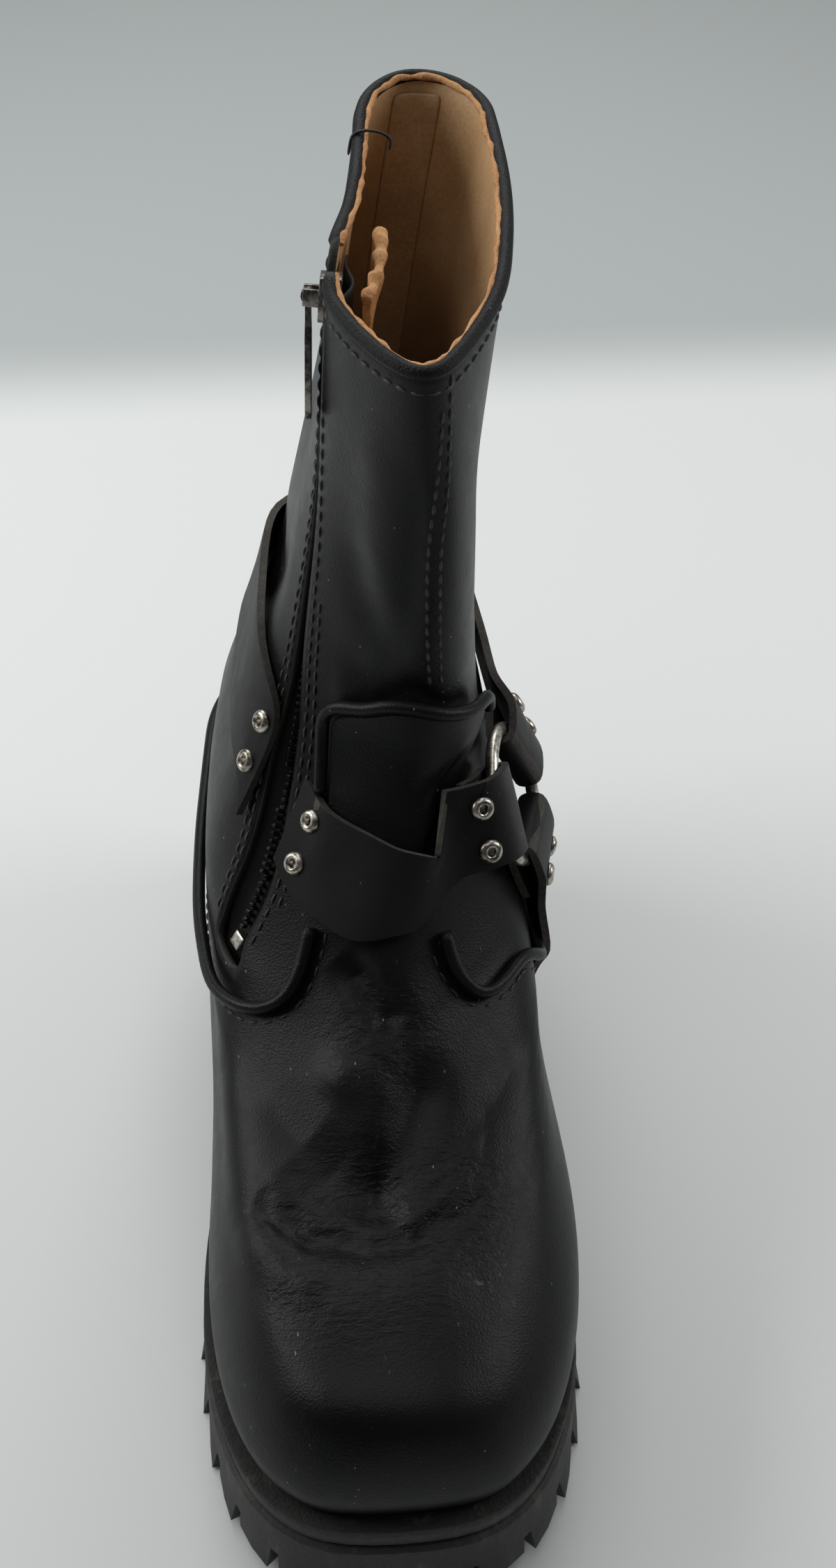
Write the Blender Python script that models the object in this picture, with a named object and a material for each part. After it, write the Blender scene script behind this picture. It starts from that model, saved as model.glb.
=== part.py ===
# Left leather harness boot: a hollow upper on a lugged sole, three straps
# joined by a ring, and a zip on the medial side.
# Frame: origin on the floor under the middle of the heel, toe to -Y,
# lateral side (the wearer's left) to +X, +Z up. Metres.

import math
from collections import namedtuple

import bmesh
import bpy
from mathutils import Matrix, Vector

# Last and upper
LAST_LENGTH = 0.286
BALL_WIDTH = 0.099
FOOT_RISE = 0.110
SHAFT_RISE = 0.137
WALL = 0.0024
GAP = 0.0003
FEATHER_GAP = 0.0009

# Sole
FORE_THICKNESS = 0.0249
HEEL_LIFT = 0.022
HEEL_HEIGHT = 0.027
TOE_SPRING = 0.0045
TREAD_SPRING = 0.0075
MIDSOLE_THICKNESS = 0.005
WELT_THICKNESS = 0.0035
WELT_INNER = 0.0012
INSOLE_THICKNESS = 0.0030
EDGE_ROUND = 0.0012
SIDE_FLARE = 0.0010
LUG_PITCH = 0.0175
LUG_SHARE = 0.84
LUG_DEPTH = 0.0080
LUG_BAND = 0.0170
LUG_SWEEP = 0.0016
LUG_CHANNEL = 0.0050
CENTRE_LUG_LENGTH = 0.0130
HEEL_PAD = (0.026, 0.030, 0.0090)

# Rings of the upper, from the feather edge (level 0) past the ankle
# (level 1) to the collar (level 2). Across is a share of BALL_WIDTH, along is
# a share of LAST_LENGTH. The last columns are half widths on either side
# of the line from back to front, and how square the two ends are.
Ring = namedtuple("Ring", "back_across back_along back_level "
                          "front_across front_along front_level "
                          "medial_heel medial_waist medial_ball medial_toe "
                          "lateral_heel lateral_waist lateral_ball lateral_toe "
                          "front_square back_square zip_along")
RINGS = (
    Ring(0.01, 0.126, 0.000, 0.07, -0.883, 0.000,
         0.34, 0.35, 0.45, 0.42, 0.36, 0.43, 0.52, 0.43, 3.3, 2.4, 0.62),
    Ring(0.01, 0.143, 0.088, 0.07, -0.890, 0.056,
         0.36, 0.39, 0.48, 0.44, 0.38, 0.47, 0.555, 0.45, 3.3, 2.4, 0.62),
    Ring(0.02, 0.150, 0.179, 0.07, -0.885, 0.151,
         0.37, 0.44, 0.465, 0.41, 0.39, 0.485, 0.555, 0.42, 3.2, 2.4, 0.63),
    Ring(0.02, 0.154, 0.270, 0.06, -0.853, 0.252,
         0.38, 0.455, 0.42, 0.35, 0.39, 0.495, 0.515, 0.33, 2.7, 2.4, 0.65),
    Ring(0.03, 0.154, 0.361, 0.06, -0.752, 0.325,
         0.38, 0.455, 0.415, 0.31, 0.39, 0.47, 0.49, 0.27, 2.3, 2.4, 0.68),
    Ring(0.04, 0.150, 0.452, 0.07, -0.629, 0.392,
         0.37, 0.46, 0.43, 0.22, 0.38, 0.45, 0.48, 0.23, 2.1, 2.3, 0.722),
    Ring(0.05, 0.143, 0.561, 0.08, -0.507, 0.520,
         0.35, 0.455, 0.44, 0.20, 0.37, 0.42, 0.44, 0.22, 2.0, 2.2, 0.778),
    Ring(0.07, 0.136, 0.688, 0.12, -0.420, 0.663,
         0.31, 0.43, 0.42, 0.21, 0.35, 0.375, 0.36, 0.22, 2.0, 2.1, 0.822),
    Ring(0.10, 0.129, 0.852, 0.18, -0.350, 0.834,
         0.26, 0.37, 0.40, 0.23, 0.30, 0.295, 0.265, 0.23, 2.0, 2.0, 0.832),
    Ring(0.13, 0.126, 1.085, 0.25, -0.308, 1.064,
         0.215, 0.32, 0.37, 0.23, 0.22, 0.22, 0.18, 0.17, 2.0, 2.0, 0.820),
    Ring(0.22, 0.147, 1.538, 0.27, -0.315, 1.465,
         0.16, 0.23, 0.27, 0.18, 0.17, 0.165, 0.135, 0.13, 2.0, 2.0, 0.765),
    Ring(0.31, 0.168, 1.998, 0.25, -0.325, 1.888,
         0.13, 0.16, 0.225, 0.14, 0.18, 0.22, 0.19, 0.10, 2.0, 2.0, 0.68),
)
LAST_RING = len(RINGS) - 1
WIDTH_STATIONS = (0.0, 0.42, 0.73, 1.0)
BACK_CLOSES = 0.16
FRONT_CLOSES = 0.73

# Sole along its length: how far the seat has risen to HEEL_LIFT, the share
# of toe spring, the share of the arch up to HEEL_HEIGHT.
SoleStation = namedtuple("SoleStation", "along rise spring arch")
SOLE_STATIONS = (
    SoleStation(-0.93, 0.00, 1.00, 0.00),
    SoleStation(-0.87, 0.00, 0.85, 0.00),
    SoleStation(-0.75, 0.00, 0.25, 0.00),
    SoleStation(-0.63, 0.00, 0.00, 0.00),
    SoleStation(-0.42, 0.02, 0.00, 0.00),
    SoleStation(-0.31, 0.17, 0.00, 0.15),
    SoleStation(-0.19, 0.55, 0.00, 0.70),
    SoleStation(-0.12, 0.80, 0.00, 1.00),
    SoleStation(0.00, 1.00, 0.00, 1.00),
    SoleStation(0.17, 1.00, 0.00, 1.00),
)
# How far the sole stands out past the feather edge, at the width stations
MEDIAL_MARGINS = (0.0050, 0.0060, 0.0085, 0.0080)
LATERAL_MARGINS = (0.0050, 0.0050, 0.0060, 0.0080)
LUGS_END = -0.40
HEEL_BREAST = -0.14

# Mesh resolution
SIDE_COLUMNS = 20
ROWS_BETWEEN = (1, 2, 2, 3, 3, 2, 3, 2, 2, 3, 3)

# Zip slot in the upper's wall: ring, width of the slot
ZIP_BOTTOM_RING = 5.72
SlotWidth = namedtuple("SlotWidth", "ring width")
SLOT_WIDTHS = (
    SlotWidth(5.72, 0.0130),
    SlotWidth(6.6, 0.0140),
    SlotWidth(7.4, 0.0115),
    SlotWidth(8.2, 0.0095),
    SlotWidth(8.9, 0.0045),
    SlotWidth(9.5, 0.0026),
    SlotWidth(10.55, 0.0034),
    SlotWidth(10.70, 0.0104),
    SlotWidth(11.0, 0.0104),
)

# Tongue tab: share of its height, left and right edge round the upper.
# Its foot hides under the front strap.
TAB_THICKNESS = 0.0018
TAB_CLEARANCE = 0.0006
TAB_FOOT_RING = 7.45
TAB_TOP_RING = 8.86
TAB_TOP_BOW = 0.24
TAB_TOP_STANDS_OFF = 0.0022
TabRow = namedtuple("TabRow", "height left right")
TAB_ROWS = (
    TabRow(0.00, 0.708, 1.050),
    TabRow(0.30, 0.693, 1.060),
    TabRow(0.60, 0.673, 1.095),
    TabRow(0.85, 0.660, 1.185),
    TabRow(0.96, 0.664, 1.218),
    TabRow(1.00, 0.682, 1.204),
)
TAB_COLUMNS = 9
TAB_HEIGHTS = (0.0, 0.2, 0.4, 0.6, 0.8, 0.93, 1.0)
TAB_PIPING_GAP = 0.0006

# Piping along the vamp's top line: places round the upper and up it
PIPING_RADIUS = 0.0020
PIPING_SIDES = 6
PIPING_STEP = 0.0112
Stop = namedtuple("Stop", "round ring")
VAMP_LINE = (
    Stop(0.694, 6.72), Stop(0.695, 6.45), Stop(0.683, 6.10), Stop(0.655, 5.80),
    Stop(0.617, 5.63), Stop(0.573, 5.48), Stop(0.510, 5.34), Stop(0.450, 5.32),
    Stop(0.400, 5.12), Stop(0.345, 4.62), Stop(0.280, 4.05), Stop(0.200, 3.75),
    Stop(0.100, 3.62), Stop(0.000, 3.60), Stop(-0.100, 3.64), Stop(-0.200, 3.78),
    Stop(-0.300, 3.98), Stop(-0.400, 4.20), Stop(-0.500, 4.46), Stop(-0.580, 4.80),
    Stop(-0.635, 5.25),
    Stop(-0.680, 5.58), Stop(-0.720, 5.64), Stop(-0.760, 5.72), Stop(-0.792, 5.95),
    Stop(-0.820, 6.28), Stop(-0.848, 6.70),
)

# Straps: places of both edges, and how far each stands off the upper in
# strap thicknesses
STRAP_THICKNESS = 0.0024
STRAP_SUBSTEPS = 2
Edge = namedtuple("Edge", "round_a ring_a lift_a round_b ring_b lift_b")
FRONT_STRAP = (
    Edge(0.600, 8.10, 0.30, 0.548, 7.15, 0.30),
    Edge(0.660, 8.03, 0.90, 0.605, 6.95, 0.30),
    Edge(0.707, 7.97, 1.75, 0.666, 6.86, 0.35),
    Edge(0.782, 7.92, 1.80, 0.740, 6.82, 0.40),
    Edge(0.870, 7.88, 2.00, 0.840, 6.81, 0.40),
    Edge(0.955, 7.80, 2.30, 0.930, 6.85, 0.40),
    Edge(1.030, 7.71, 2.50, 1.010, 6.91, 0.40),
    Edge(1.080, 7.62, 2.40, 1.080, 6.92, 0.45),
)
REAR_STRAP = (
    Edge(0.494, 8.45, 0.30, 0.466, 7.25, 0.30),
    Edge(0.465, 8.80, 0.35, 0.450, 7.65, 0.30),
    Edge(0.388, 9.00, 0.70, 0.372, 7.75, 0.40),
    Edge(0.300, 8.95, 1.10, 0.285, 7.72, 0.60),
    Edge(0.200, 8.86, 1.10, 0.190, 7.65, 0.70),
    Edge(0.100, 8.78, 0.90, 0.100, 7.56, 0.50),
    Edge(0.000, 8.68, 0.50, 0.000, 7.46, 0.40),
    Edge(-0.110, 8.50, 0.40, -0.110, 7.28, 0.30),
    Edge(-0.220, 8.28, 0.40, -0.220, 7.02, 0.30),
    Edge(-0.320, 8.02, 0.50, -0.320, 6.76, 0.40),
    Edge(-0.430, 7.78, 1.20, -0.430, 6.52, 1.00),
)
LOWER_STRAP = (
    Edge(1.545, 0.55, 0.35, 1.630, 0.55, 0.35),
    Edge(1.540, 1.20, 0.30, 1.625, 1.20, 0.30),
    Edge(1.528, 2.00, 0.30, 1.613, 2.00, 0.30),
    Edge(1.508, 3.00, 0.40, 1.593, 3.00, 0.40),
    Edge(1.478, 3.80, 1.90, 1.564, 3.80, 1.90),
    Edge(1.438, 4.60, 2.35, 1.524, 4.60, 2.35),
)

# Ring that joins the straps, and the strap ends folded round it. Angles are
# in degrees from the heel side, anticlockwise seen from outside.
RING_ROUND = 1.335
RING_PLACE = 7.25
RING_RADIUS = 0.0205
RING_WIRE = 0.0022
RING_HEIGHT = 0.0066
FRONT_STRAP_ANGLE = 150.0
REAR_STRAP_ANGLE = 12.5
LOWER_STRAP_ANGLE = 261.0
FOLD_HALF_WIDTH = 0.0132
FOLD_CLEARANCE = 0.0004
FOLD_REACH = 0.0018
BLEND_START = 0.0220
BLEND_SPAN = 0.0160
RETURN_END = 0.0305
RIVET_DISTANCE = 0.0280

# Rivets
RIVET_RADIUS = 0.0037
RIVET_HEIGHT = 0.0013
RIVET_HOLLOW = 0.0016
RIVET_SHANK = 0.0013
RIVET_SPACING = 0.0140
RIVET_FROM_END = 0.0085
RIVET_SIDES = 8

# Zip
TAPE_HALF_WIDTH = 0.0130
TAPE_THICKNESS = 0.0008
CHAIN_HALF_WIDTH = 0.0026
CHAIN_THICKNESS = 0.0022
INNER_CLEARANCE = 0.0012
CHAIN_FOOT_RING = 6.12
CHAIN_TOP_RING = 10.72
STOP_RING = 5.92
STOP_SIZE = (0.0048, 0.0046, 0.0028)
SLIDER_PLACE = 10.86
SLIDER_SIZE = (0.0082, 0.0115, 0.0058)
SLIDER_STANDS_OUT = 0.0012
EAR_SIZE = (0.0012, 0.0046, 0.0046)
PIN_HEIGHT = 0.0040
PIN_RADIUS = 0.0007
EYE_RADIUS = 0.0020
EYE_BORE = 0.0010
EYE_WIDTH = 0.0028
PULL_LENGTH = 0.0330
PULL_HALF_WIDTH = 0.0040
PULL_THICKNESS = 0.0016
PULL_TIP_STANDS_OFF = 0.0030
GUSSET_REAR = 0.0240
GUSSET_FRONT = 0.0100
GUSSET_THICKNESS = 0.0014
GUSSET_CLEARANCE = 0.0005
GUSSET_TOP_LEAN = 0.0045


# Interpolation

def hermite(knots, values, at):
    # Smooth curve through the values, with slopes from their neighbours
    if at <= knots[0]:
        return values[0]
    if at >= knots[-1]:
        return values[-1]
    index = 0
    while at > knots[index + 1]:
        index += 1
    last = len(knots) - 1

    def slope(i):
        low, high = max(i - 1, 0), min(i + 1, last)
        return (values[high] - values[low]) / (knots[high] - knots[low])

    span = knots[index + 1] - knots[index]
    f = (at - knots[index]) / span
    return ((1 + 2 * f) * (1 - f) ** 2 * values[index]
            + f * (1 - f) ** 2 * span * slope(index)
            + f * f * (3 - 2 * f) * values[index + 1]
            - f * f * (1 - f) * span * slope(index + 1))


def sole_column(name, along):
    knots = [row.along for row in SOLE_STATIONS]
    return hermite(knots, [getattr(row, name) for row in SOLE_STATIONS], along)


# Heights of the sole at a place along it, y in metres

def outsole_top(y):
    along = y / LAST_LENGTH
    return (FORE_THICKNESS + HEEL_LIFT * sole_column("rise", along)
            + TOE_SPRING * sole_column("spring", along))


def tread_height(y):
    return TREAD_SPRING * sole_column("spring", y / LAST_LENGTH) ** 2


def lug_root(y):
    arch = sole_column("arch", y / LAST_LENGTH)
    return tread_height(y) + LUG_DEPTH * (1 - arch) + HEEL_HEIGHT * arch


def midsole_base(y):
    return outsole_top(y) + GAP


def welt_base(y):
    return midsole_base(y) + MIDSOLE_THICKNESS + GAP


def feather_height(y):
    return welt_base(y) + WELT_THICKNESS + FEATHER_GAP


# Surface of the upper

def ring_knots():
    # Mean path length up the back and the front of the upper, per ring
    knots = [0.0]
    for lower, upper in zip(RINGS, RINGS[1:]):
        rise = FOOT_RISE + SHAFT_RISE
        back = math.hypot((upper.back_along - lower.back_along) * LAST_LENGTH,
                          (upper.back_level - lower.back_level) * rise / 2)
        front = math.hypot((upper.front_along - lower.front_along) * LAST_LENGTH,
                           (upper.front_level - lower.front_level) * rise / 2)
        knots.append(knots[-1] + (back + front) / 2)
    return knots


RING_KNOTS = ring_knots()
RING_COLUMNS = {name: [getattr(ring, name) for ring in RINGS]
                for name in Ring._fields}


def ring_at(place):
    # Place is a ring number with its fraction, 0 to LAST_RING
    low = min(int(place), LAST_RING - 1)
    path = RING_KNOTS[low] + (place - low) * (RING_KNOTS[low + 1] - RING_KNOTS[low])
    return Ring(*(hermite(RING_KNOTS, RING_COLUMNS[name], path)
                  for name in Ring._fields))


def closure(t, front_square, back_square):
    if t > FRONT_CLOSES:
        share = (t - FRONT_CLOSES) / (1 - FRONT_CLOSES)
        return max(0.0, 1 - share ** front_square) ** (1 / front_square)
    if t < BACK_CLOSES:
        share = (BACK_CLOSES - t) / BACK_CLOSES
        return max(0.0, 1 - share ** back_square) ** (1 / back_square)
    return 1.0


def level_height(level, y):
    # Low rings follow the sole, high rings the level heel seat
    seat = feather_height(0.0)
    foot = min(level, 1.0)
    ground = feather_height(y) * (1 - foot) + seat * foot
    return ground + FOOT_RISE * foot + SHAFT_RISE * max(level - 1.0, 0.0)


def ring_point(ring, t, side):
    # Side is -1 medial, +1 lateral; t runs 0 at the back to 1 at the front
    if side < 0:
        widths = (ring.medial_heel, ring.medial_waist,
                  ring.medial_ball, ring.medial_toe)
    else:
        widths = (ring.lateral_heel, ring.lateral_waist,
                  ring.lateral_ball, ring.lateral_toe)
    half = hermite(WIDTH_STATIONS, widths, t)
    half *= closure(t, ring.front_square, ring.back_square)
    across = ring.back_across + (ring.front_across - ring.back_across) * t
    y = (ring.back_along + (ring.front_along - ring.back_along) * t) * LAST_LENGTH
    level = ring.back_level + (ring.front_level - ring.back_level) * t
    return Vector(((across + side * half) * BALL_WIDTH, y, level_height(level, y)))


def eased(s):
    # Closes columns up towards the back and the front
    return (1 - math.cos(math.pi * s)) / 2


def medial_station(s, ring):
    # s is 0 at the back, 0.5 on the zip and 1 at the front
    at_zip = math.acos(1 - 2 * ring.zip_along) / math.pi
    if s < 0.5:
        return eased(2 * s * at_zip)
    return eased(at_zip + (2 * s - 1) * (1 - at_zip))


def last_point(u, place):
    # u runs from the back (0) up the medial side to the front (1) and down
    # the lateral side to the back again (2)
    ring = ring_at(place)
    u = u % 2.0
    if u <= 1.0:
        return ring_point(ring, medial_station(u, ring), -1)
    return ring_point(ring, eased(2.0 - u), 1)


def last_frame(u, place):
    # Point, direction along the ring, direction up, outward normal
    step = 0.004
    point = last_point(u, place)
    along = last_point(u + step, place) - last_point(u - step, place)
    low, high = max(place - 0.02, 0.0), min(place + 0.02, LAST_RING)
    rise = last_point(u, high) - last_point(u, low)
    along.normalize()
    rise.normalize()
    normal = along.cross(rise).normalized()
    return point, along, rise, normal


def upper_frame(u, place):
    # The same on the upper's outer face
    point, along, rise, normal = last_frame(u, place)
    return point + normal * WALL, along, rise, normal


def on_upper(u, place, offset):
    point, along, rise, normal = last_frame(u, place)
    return point + normal * (WALL + offset)


def upper_point(u, place):
    return on_upper(u, place, 0.0)


# Meshes

def make_material(name, colour, roughness, metallic=0.0):
    material = bpy.data.materials.new(name)
    material.use_nodes = True
    shader = material.node_tree.nodes["Principled BSDF"]
    shader.inputs["Base Color"].default_value = (*colour, 1.0)
    shader.inputs["Roughness"].default_value = roughness
    shader.inputs["Metallic"].default_value = metallic
    return material


def make_solid(name, points, faces, material, sharp_angle=0.6):
    mesh = bpy.data.meshes.new(name)
    mesh.from_pydata([tuple(p) for p in points], [], faces)
    shape = bmesh.new()
    shape.from_mesh(mesh)
    bmesh.ops.recalc_face_normals(shape, faces=shape.faces)
    shape.to_mesh(mesh)
    shape.free()
    mesh.shade_smooth()
    mesh.set_sharp_from_angle(angle=sharp_angle)
    mesh.materials.append(make_material(name, *material))
    item = bpy.data.objects.new(name, mesh)
    bpy.context.scene.collection.objects.link(item)
    return item


def box_solid(name, size, material):
    half = [d / 2 for d in size]
    points = [Vector((x * half[0], y * half[1], z * half[2]))
              for z in (-1, 1) for x, y in ((-1, -1), (1, -1), (1, 1), (-1, 1))]
    faces = [[0, 1, 2, 3], [4, 5, 6, 7], [0, 1, 5, 4], [1, 2, 6, 5], [2, 3, 7, 6],
             [3, 0, 4, 7]]
    return make_solid(name, points, faces, material)


def boolean(target, other, operation):
    other.hide_render = True
    other.display_type = "WIRE"
    step = target.modifiers.new(other.name, "BOOLEAN")
    step.operation = operation
    step.object = other


BLACK_LEATHER = ((0.012, 0.012, 0.013), 0.42)
STRAP_LEATHER = ((0.014, 0.014, 0.015), 0.38)
TAN_LEATHER = ((0.56, 0.34, 0.18), 0.60)
BLACK_RUBBER = ((0.015, 0.015, 0.015), 0.70)
WELT_LEATHER = ((0.020, 0.019, 0.018), 0.75)
BOARD = ((0.35, 0.25, 0.16), 0.80)
STEEL = ((0.62, 0.62, 0.60), 0.25, 1.0)
DARK_STEEL = ((0.30, 0.29, 0.28), 0.30, 1.0)
CLOTH = ((0.010, 0.010, 0.011), 0.90)


# Remove what the file starts with

for item in list(bpy.data.objects):
    bpy.data.objects.remove(item, do_unlink=True)


# Outline of the sole in plan

def feather_normal(t, side):
    step = 0.002
    low, high = max(t - step, 0.0), min(t + step, 1.0)
    if low == 0.0:
        # Mirror across the back, where both sides meet
        a, b = ring_point(RINGS[0], high, -side), ring_point(RINGS[0], high, side)
        tangent = Vector((b.x - a.x, b.y - a.y, 0.0))
    elif high == 1.0:
        a, b = ring_point(RINGS[0], low, side), ring_point(RINGS[0], low, -side)
        tangent = Vector((b.x - a.x, b.y - a.y, 0.0))
    else:
        a, b = ring_point(RINGS[0], low, side), ring_point(RINGS[0], high, side)
        tangent = Vector((b.x - a.x, b.y - a.y, 0.0))
    tangent.normalize()
    return Vector((-tangent.y * side, tangent.x * side, 0.0))


def sole_edge(t, side, extra=0.0):
    # Extra is measured outward from the sole's edge, and is negative inward
    point = ring_point(RINGS[0], t, side)
    margins = MEDIAL_MARGINS if side < 0 else LATERAL_MARGINS
    margin = hermite(WIDTH_STATIONS, margins, t) + extra
    edge = point + feather_normal(t, side) * margin
    return Vector((edge.x, edge.y, 0.0))


def upper_edge(t, side, inset):
    point = ring_point(RINGS[0], t, side)
    edge = point - feather_normal(t, side) * inset
    return Vector((edge.x, edge.y, 0.0))


def raised(loop, height):
    return [Vector((p.x, p.y, height(p.y))) for p in loop]


def ladder(medial, lateral):
    # Faces across a closed outline, rung by rung from the back to the front
    faces = []
    for i in range(len(medial) - 1):
        corners = [medial[i], medial[i + 1], lateral[i + 1], lateral[i]]
        face = [c for k, c in enumerate(corners) if c not in corners[:k]]
        faces.append(face)
    return faces


def loop_ids(start, count):
    # Medial ids from the back to the front, then lateral ids likewise, for
    # a loop that has one point at the back and one at the front
    total = 2 * count
    medial = [start + i for i in range(count + 1)]
    lateral = [start + (total - i) % total for i in range(count + 1)]
    return medial, lateral


def outline_loop(edge, stations):
    loop = [edge(t, -1) for t in stations]
    loop += [edge(t, 1) for t in reversed(stations[1:-1])]
    return loop


def slab(name, edge, base, thickness, material, columns=30, edge_round=0.0):
    stations = [eased(i / columns) for i in range(columns + 1)]
    flat = outline_loop(edge, stations)
    rounded = outline_loop(lambda t, side: edge(t, side, -edge_round), stations)
    levels = [(flat, lambda y: base(y)),
              (flat, lambda y: base(y) + thickness - edge_round)]
    if edge_round:
        levels.append((rounded, lambda y: base(y) + thickness))
    points, faces = [], []
    for loop, height in levels:
        points += raised(loop, height)
    count = len(flat)
    for level in range(len(levels) - 1):
        for k in range(count):
            a, b = level * count + k, level * count + (k + 1) % count
            faces.append([a, b, b + count, a + count])
    faces += ladder(*loop_ids(0, columns))
    faces += ladder(*loop_ids((len(levels) - 1) * count, columns))
    return make_solid(name, points, faces, material)


def build_midsole():
    def edge(t, side, extra=0.0):
        return sole_edge(t, side, extra - EDGE_ROUND)
    return slab("midsole", edge, midsole_base, MIDSOLE_THICKNESS, BLACK_RUBBER)


def build_insole():
    def edge(t, side, extra=0.0):
        return upper_edge(t, side, WELT_INNER + GAP - extra)
    return slab("insole", edge, welt_base, WELT_THICKNESS + INSOLE_THICKNESS, BOARD,
                edge_round=0.0010)


def build_welt(columns=28):
    stations = [eased(i / columns) for i in range(columns + 1)]
    outer = outline_loop(lambda t, side: sole_edge(t, side, -0.0006), stations)
    inner = outline_loop(lambda t, side: upper_edge(t, side, WELT_INNER), stations)

    def top(y):
        return welt_base(y) + WELT_THICKNESS
    loops = [raised(outer, welt_base), raised(outer, top),
             raised(inner, top), raised(inner, welt_base)]
    points = [p for loop in loops for p in loop]
    count = len(outer)
    faces = []
    for level in range(4):
        for k in range(count):
            a, b = level * count + k, level * count + (k + 1) % count
            c, d = (a + count) % (4 * count), (b + count) % (4 * count)
            faces.append([a, b, d, c])
    return make_solid("welt", points, faces, WELT_LEATHER)


# Lugged rubber

def lug_stations(side):
    # Places along one side of the outsole where a lug starts, is half way
    # and ends, at equal steps of length
    fine = 400
    places = [i / fine for i in range(fine + 1)]
    points = [sole_edge(eased(p), side) for p in places]
    lengths = [0.0]
    for a, b in zip(points, points[1:]):
        lengths.append(lengths[-1] + (b - a).length)
    medial_length = sum((sole_edge(eased((i + 1) / fine), -1)
                         - sole_edge(eased(i / fine), -1)).length
                        for i in range(fine))
    count = max(8, round(medial_length / LUG_PITCH))
    shares = []
    for i in range(count):
        shares += [i / count, (i + LUG_SHARE / 2) / count, (i + LUG_SHARE) / count]
    shares.append(1.0)
    stations = []
    index = 0
    for share in shares:
        target = share * lengths[-1]
        while index < fine - 1 and lengths[index + 1] < target:
            index += 1
        span = lengths[index + 1] - lengths[index]
        f = (target - lengths[index]) / span
        stations.append(eased((index + min(max(f, 0.0), 1.0)) / fine))
    stations[0], stations[-1] = 0.0, 1.0
    return stations


MEDIAL_LUGS = lug_stations(-1)
LATERAL_LUGS = lug_stations(1)


def lug_sweep(index):
    # Each lug stands out a little further at its front end
    return LUG_SWEEP * (index % 3) / 2


def side_columns(level_extra, swept=False):
    # One point per lug station, up the medial side and back down the
    # lateral side
    def place(stations, side, i):
        extra = level_extra + (lug_sweep(i) if swept else 0.0)
        return sole_edge(stations[i], side, extra)
    last = len(MEDIAL_LUGS) - 1
    medial = [place(MEDIAL_LUGS, -1, i) for i in range(last + 1)]
    lateral = [place(LATERAL_LUGS, 1, i) for i in range(last + 1)]
    return medial, lateral


def closed_loop(medial, lateral, open_front):
    if open_front:
        return medial + list(reversed(lateral[1:]))
    return medial + list(reversed(lateral[1:-1]))


def lugged_faces(count, levels, is_lug):
    # Faces of a block whose loops are stored in this order: the levels from
    # the top down to the lug root, inner root, outer foot, inner foot
    root, inner = (levels - 1) * count, levels * count
    foot, inner_foot = inner + count, inner + 2 * count
    faces = []
    for k in range(count):
        n = (k + 1) % count
        for level in range(levels - 1):
            base = level * count
            faces.append([base + k, base + n, base + count + n, base + count + k])
        if is_lug[k]:
            faces.append([root + k, root + n, foot + n, foot + k])
            faces.append([foot + k, foot + n, inner_foot + n, inner_foot + k])
            faces.append([inner_foot + k, inner_foot + n, inner + n, inner + k])
        else:
            faces.append([root + k, root + n, inner + n, inner + k])
        if is_lug[k] != is_lug[k - 1]:
            faces.append([root + k, foot + k, inner_foot + k, inner + k])
    return faces


def used_only(points, faces):
    # Drops points that no face uses
    used = sorted({i for face in faces for i in face})
    renumber = {old: new for new, old in enumerate(used)}
    return [points[i] for i in used], [[renumber[i] for i in face] for face in faces]


def centre_lugs(name, rows):
    # Blocks of tread inside the channel, joined to the block by a Boolean
    points, faces = [], []
    for outline, foot, top in rows:
        base = len(points)
        count = len(outline)
        points += [Vector((x, y, foot(y))) for x, y in outline]
        points += [Vector((x, y, top(y))) for x, y in outline]
        faces.append(list(range(base, base + count)))
        faces.append(list(range(base + count, base + 2 * count)))
        for k in range(count):
            n = (k + 1) % count
            faces.append([base + k, base + n, base + count + n, base + count + k])
    item = make_solid(name, points, faces, BLACK_RUBBER)
    item.hide_render = True
    item.display_type = "WIRE"
    return item


def join_lugs(target, lugs):
    union = target.modifiers.new("Centre lugs", "BOOLEAN")
    union.operation = "UNION"
    union.object = lugs


def edge_across(side, y, inset):
    # Across position of the sole's inset edge at y, by bisection
    low, high = 0.05, 0.95
    for _ in range(40):
        middle = (low + high) / 2
        if sole_edge(middle, side, -inset).y > y:
            low = middle
        else:
            high = middle
    return sole_edge(low, side, -inset).x


LUG_OVERLAP = 0.0010


def forefoot_lug_rows():
    rows = []
    pitch = CENTRE_LUG_LENGTH + LUG_CHANNEL
    first = LUGS_END * LAST_LENGTH - pitch * 0.7
    last = -0.80 * LAST_LENGTH
    count = int((first - last) / pitch)
    inset = LUG_BAND + LUG_CHANNEL
    for i in range(count + 1):
        middle = first - i * pitch
        half = CENTRE_LUG_LENGTH / 2
        left = edge_across(-1, middle - half, inset)
        right = edge_across(1, middle - half, inset)
        centre = (left + right) / 2
        slant = CENTRE_LUG_LENGTH * 0.35
        for a, b in ((left, centre - LUG_CHANNEL / 2), (right, centre + LUG_CHANNEL / 2)):
            outline = [(a, middle + half), (b, middle + half - slant),
                       (b, middle - half - slant), (a, middle - half)]
            rows.append((outline, tread_height,
                         lambda y: lug_root(y) + LUG_OVERLAP))
    return rows


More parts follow.
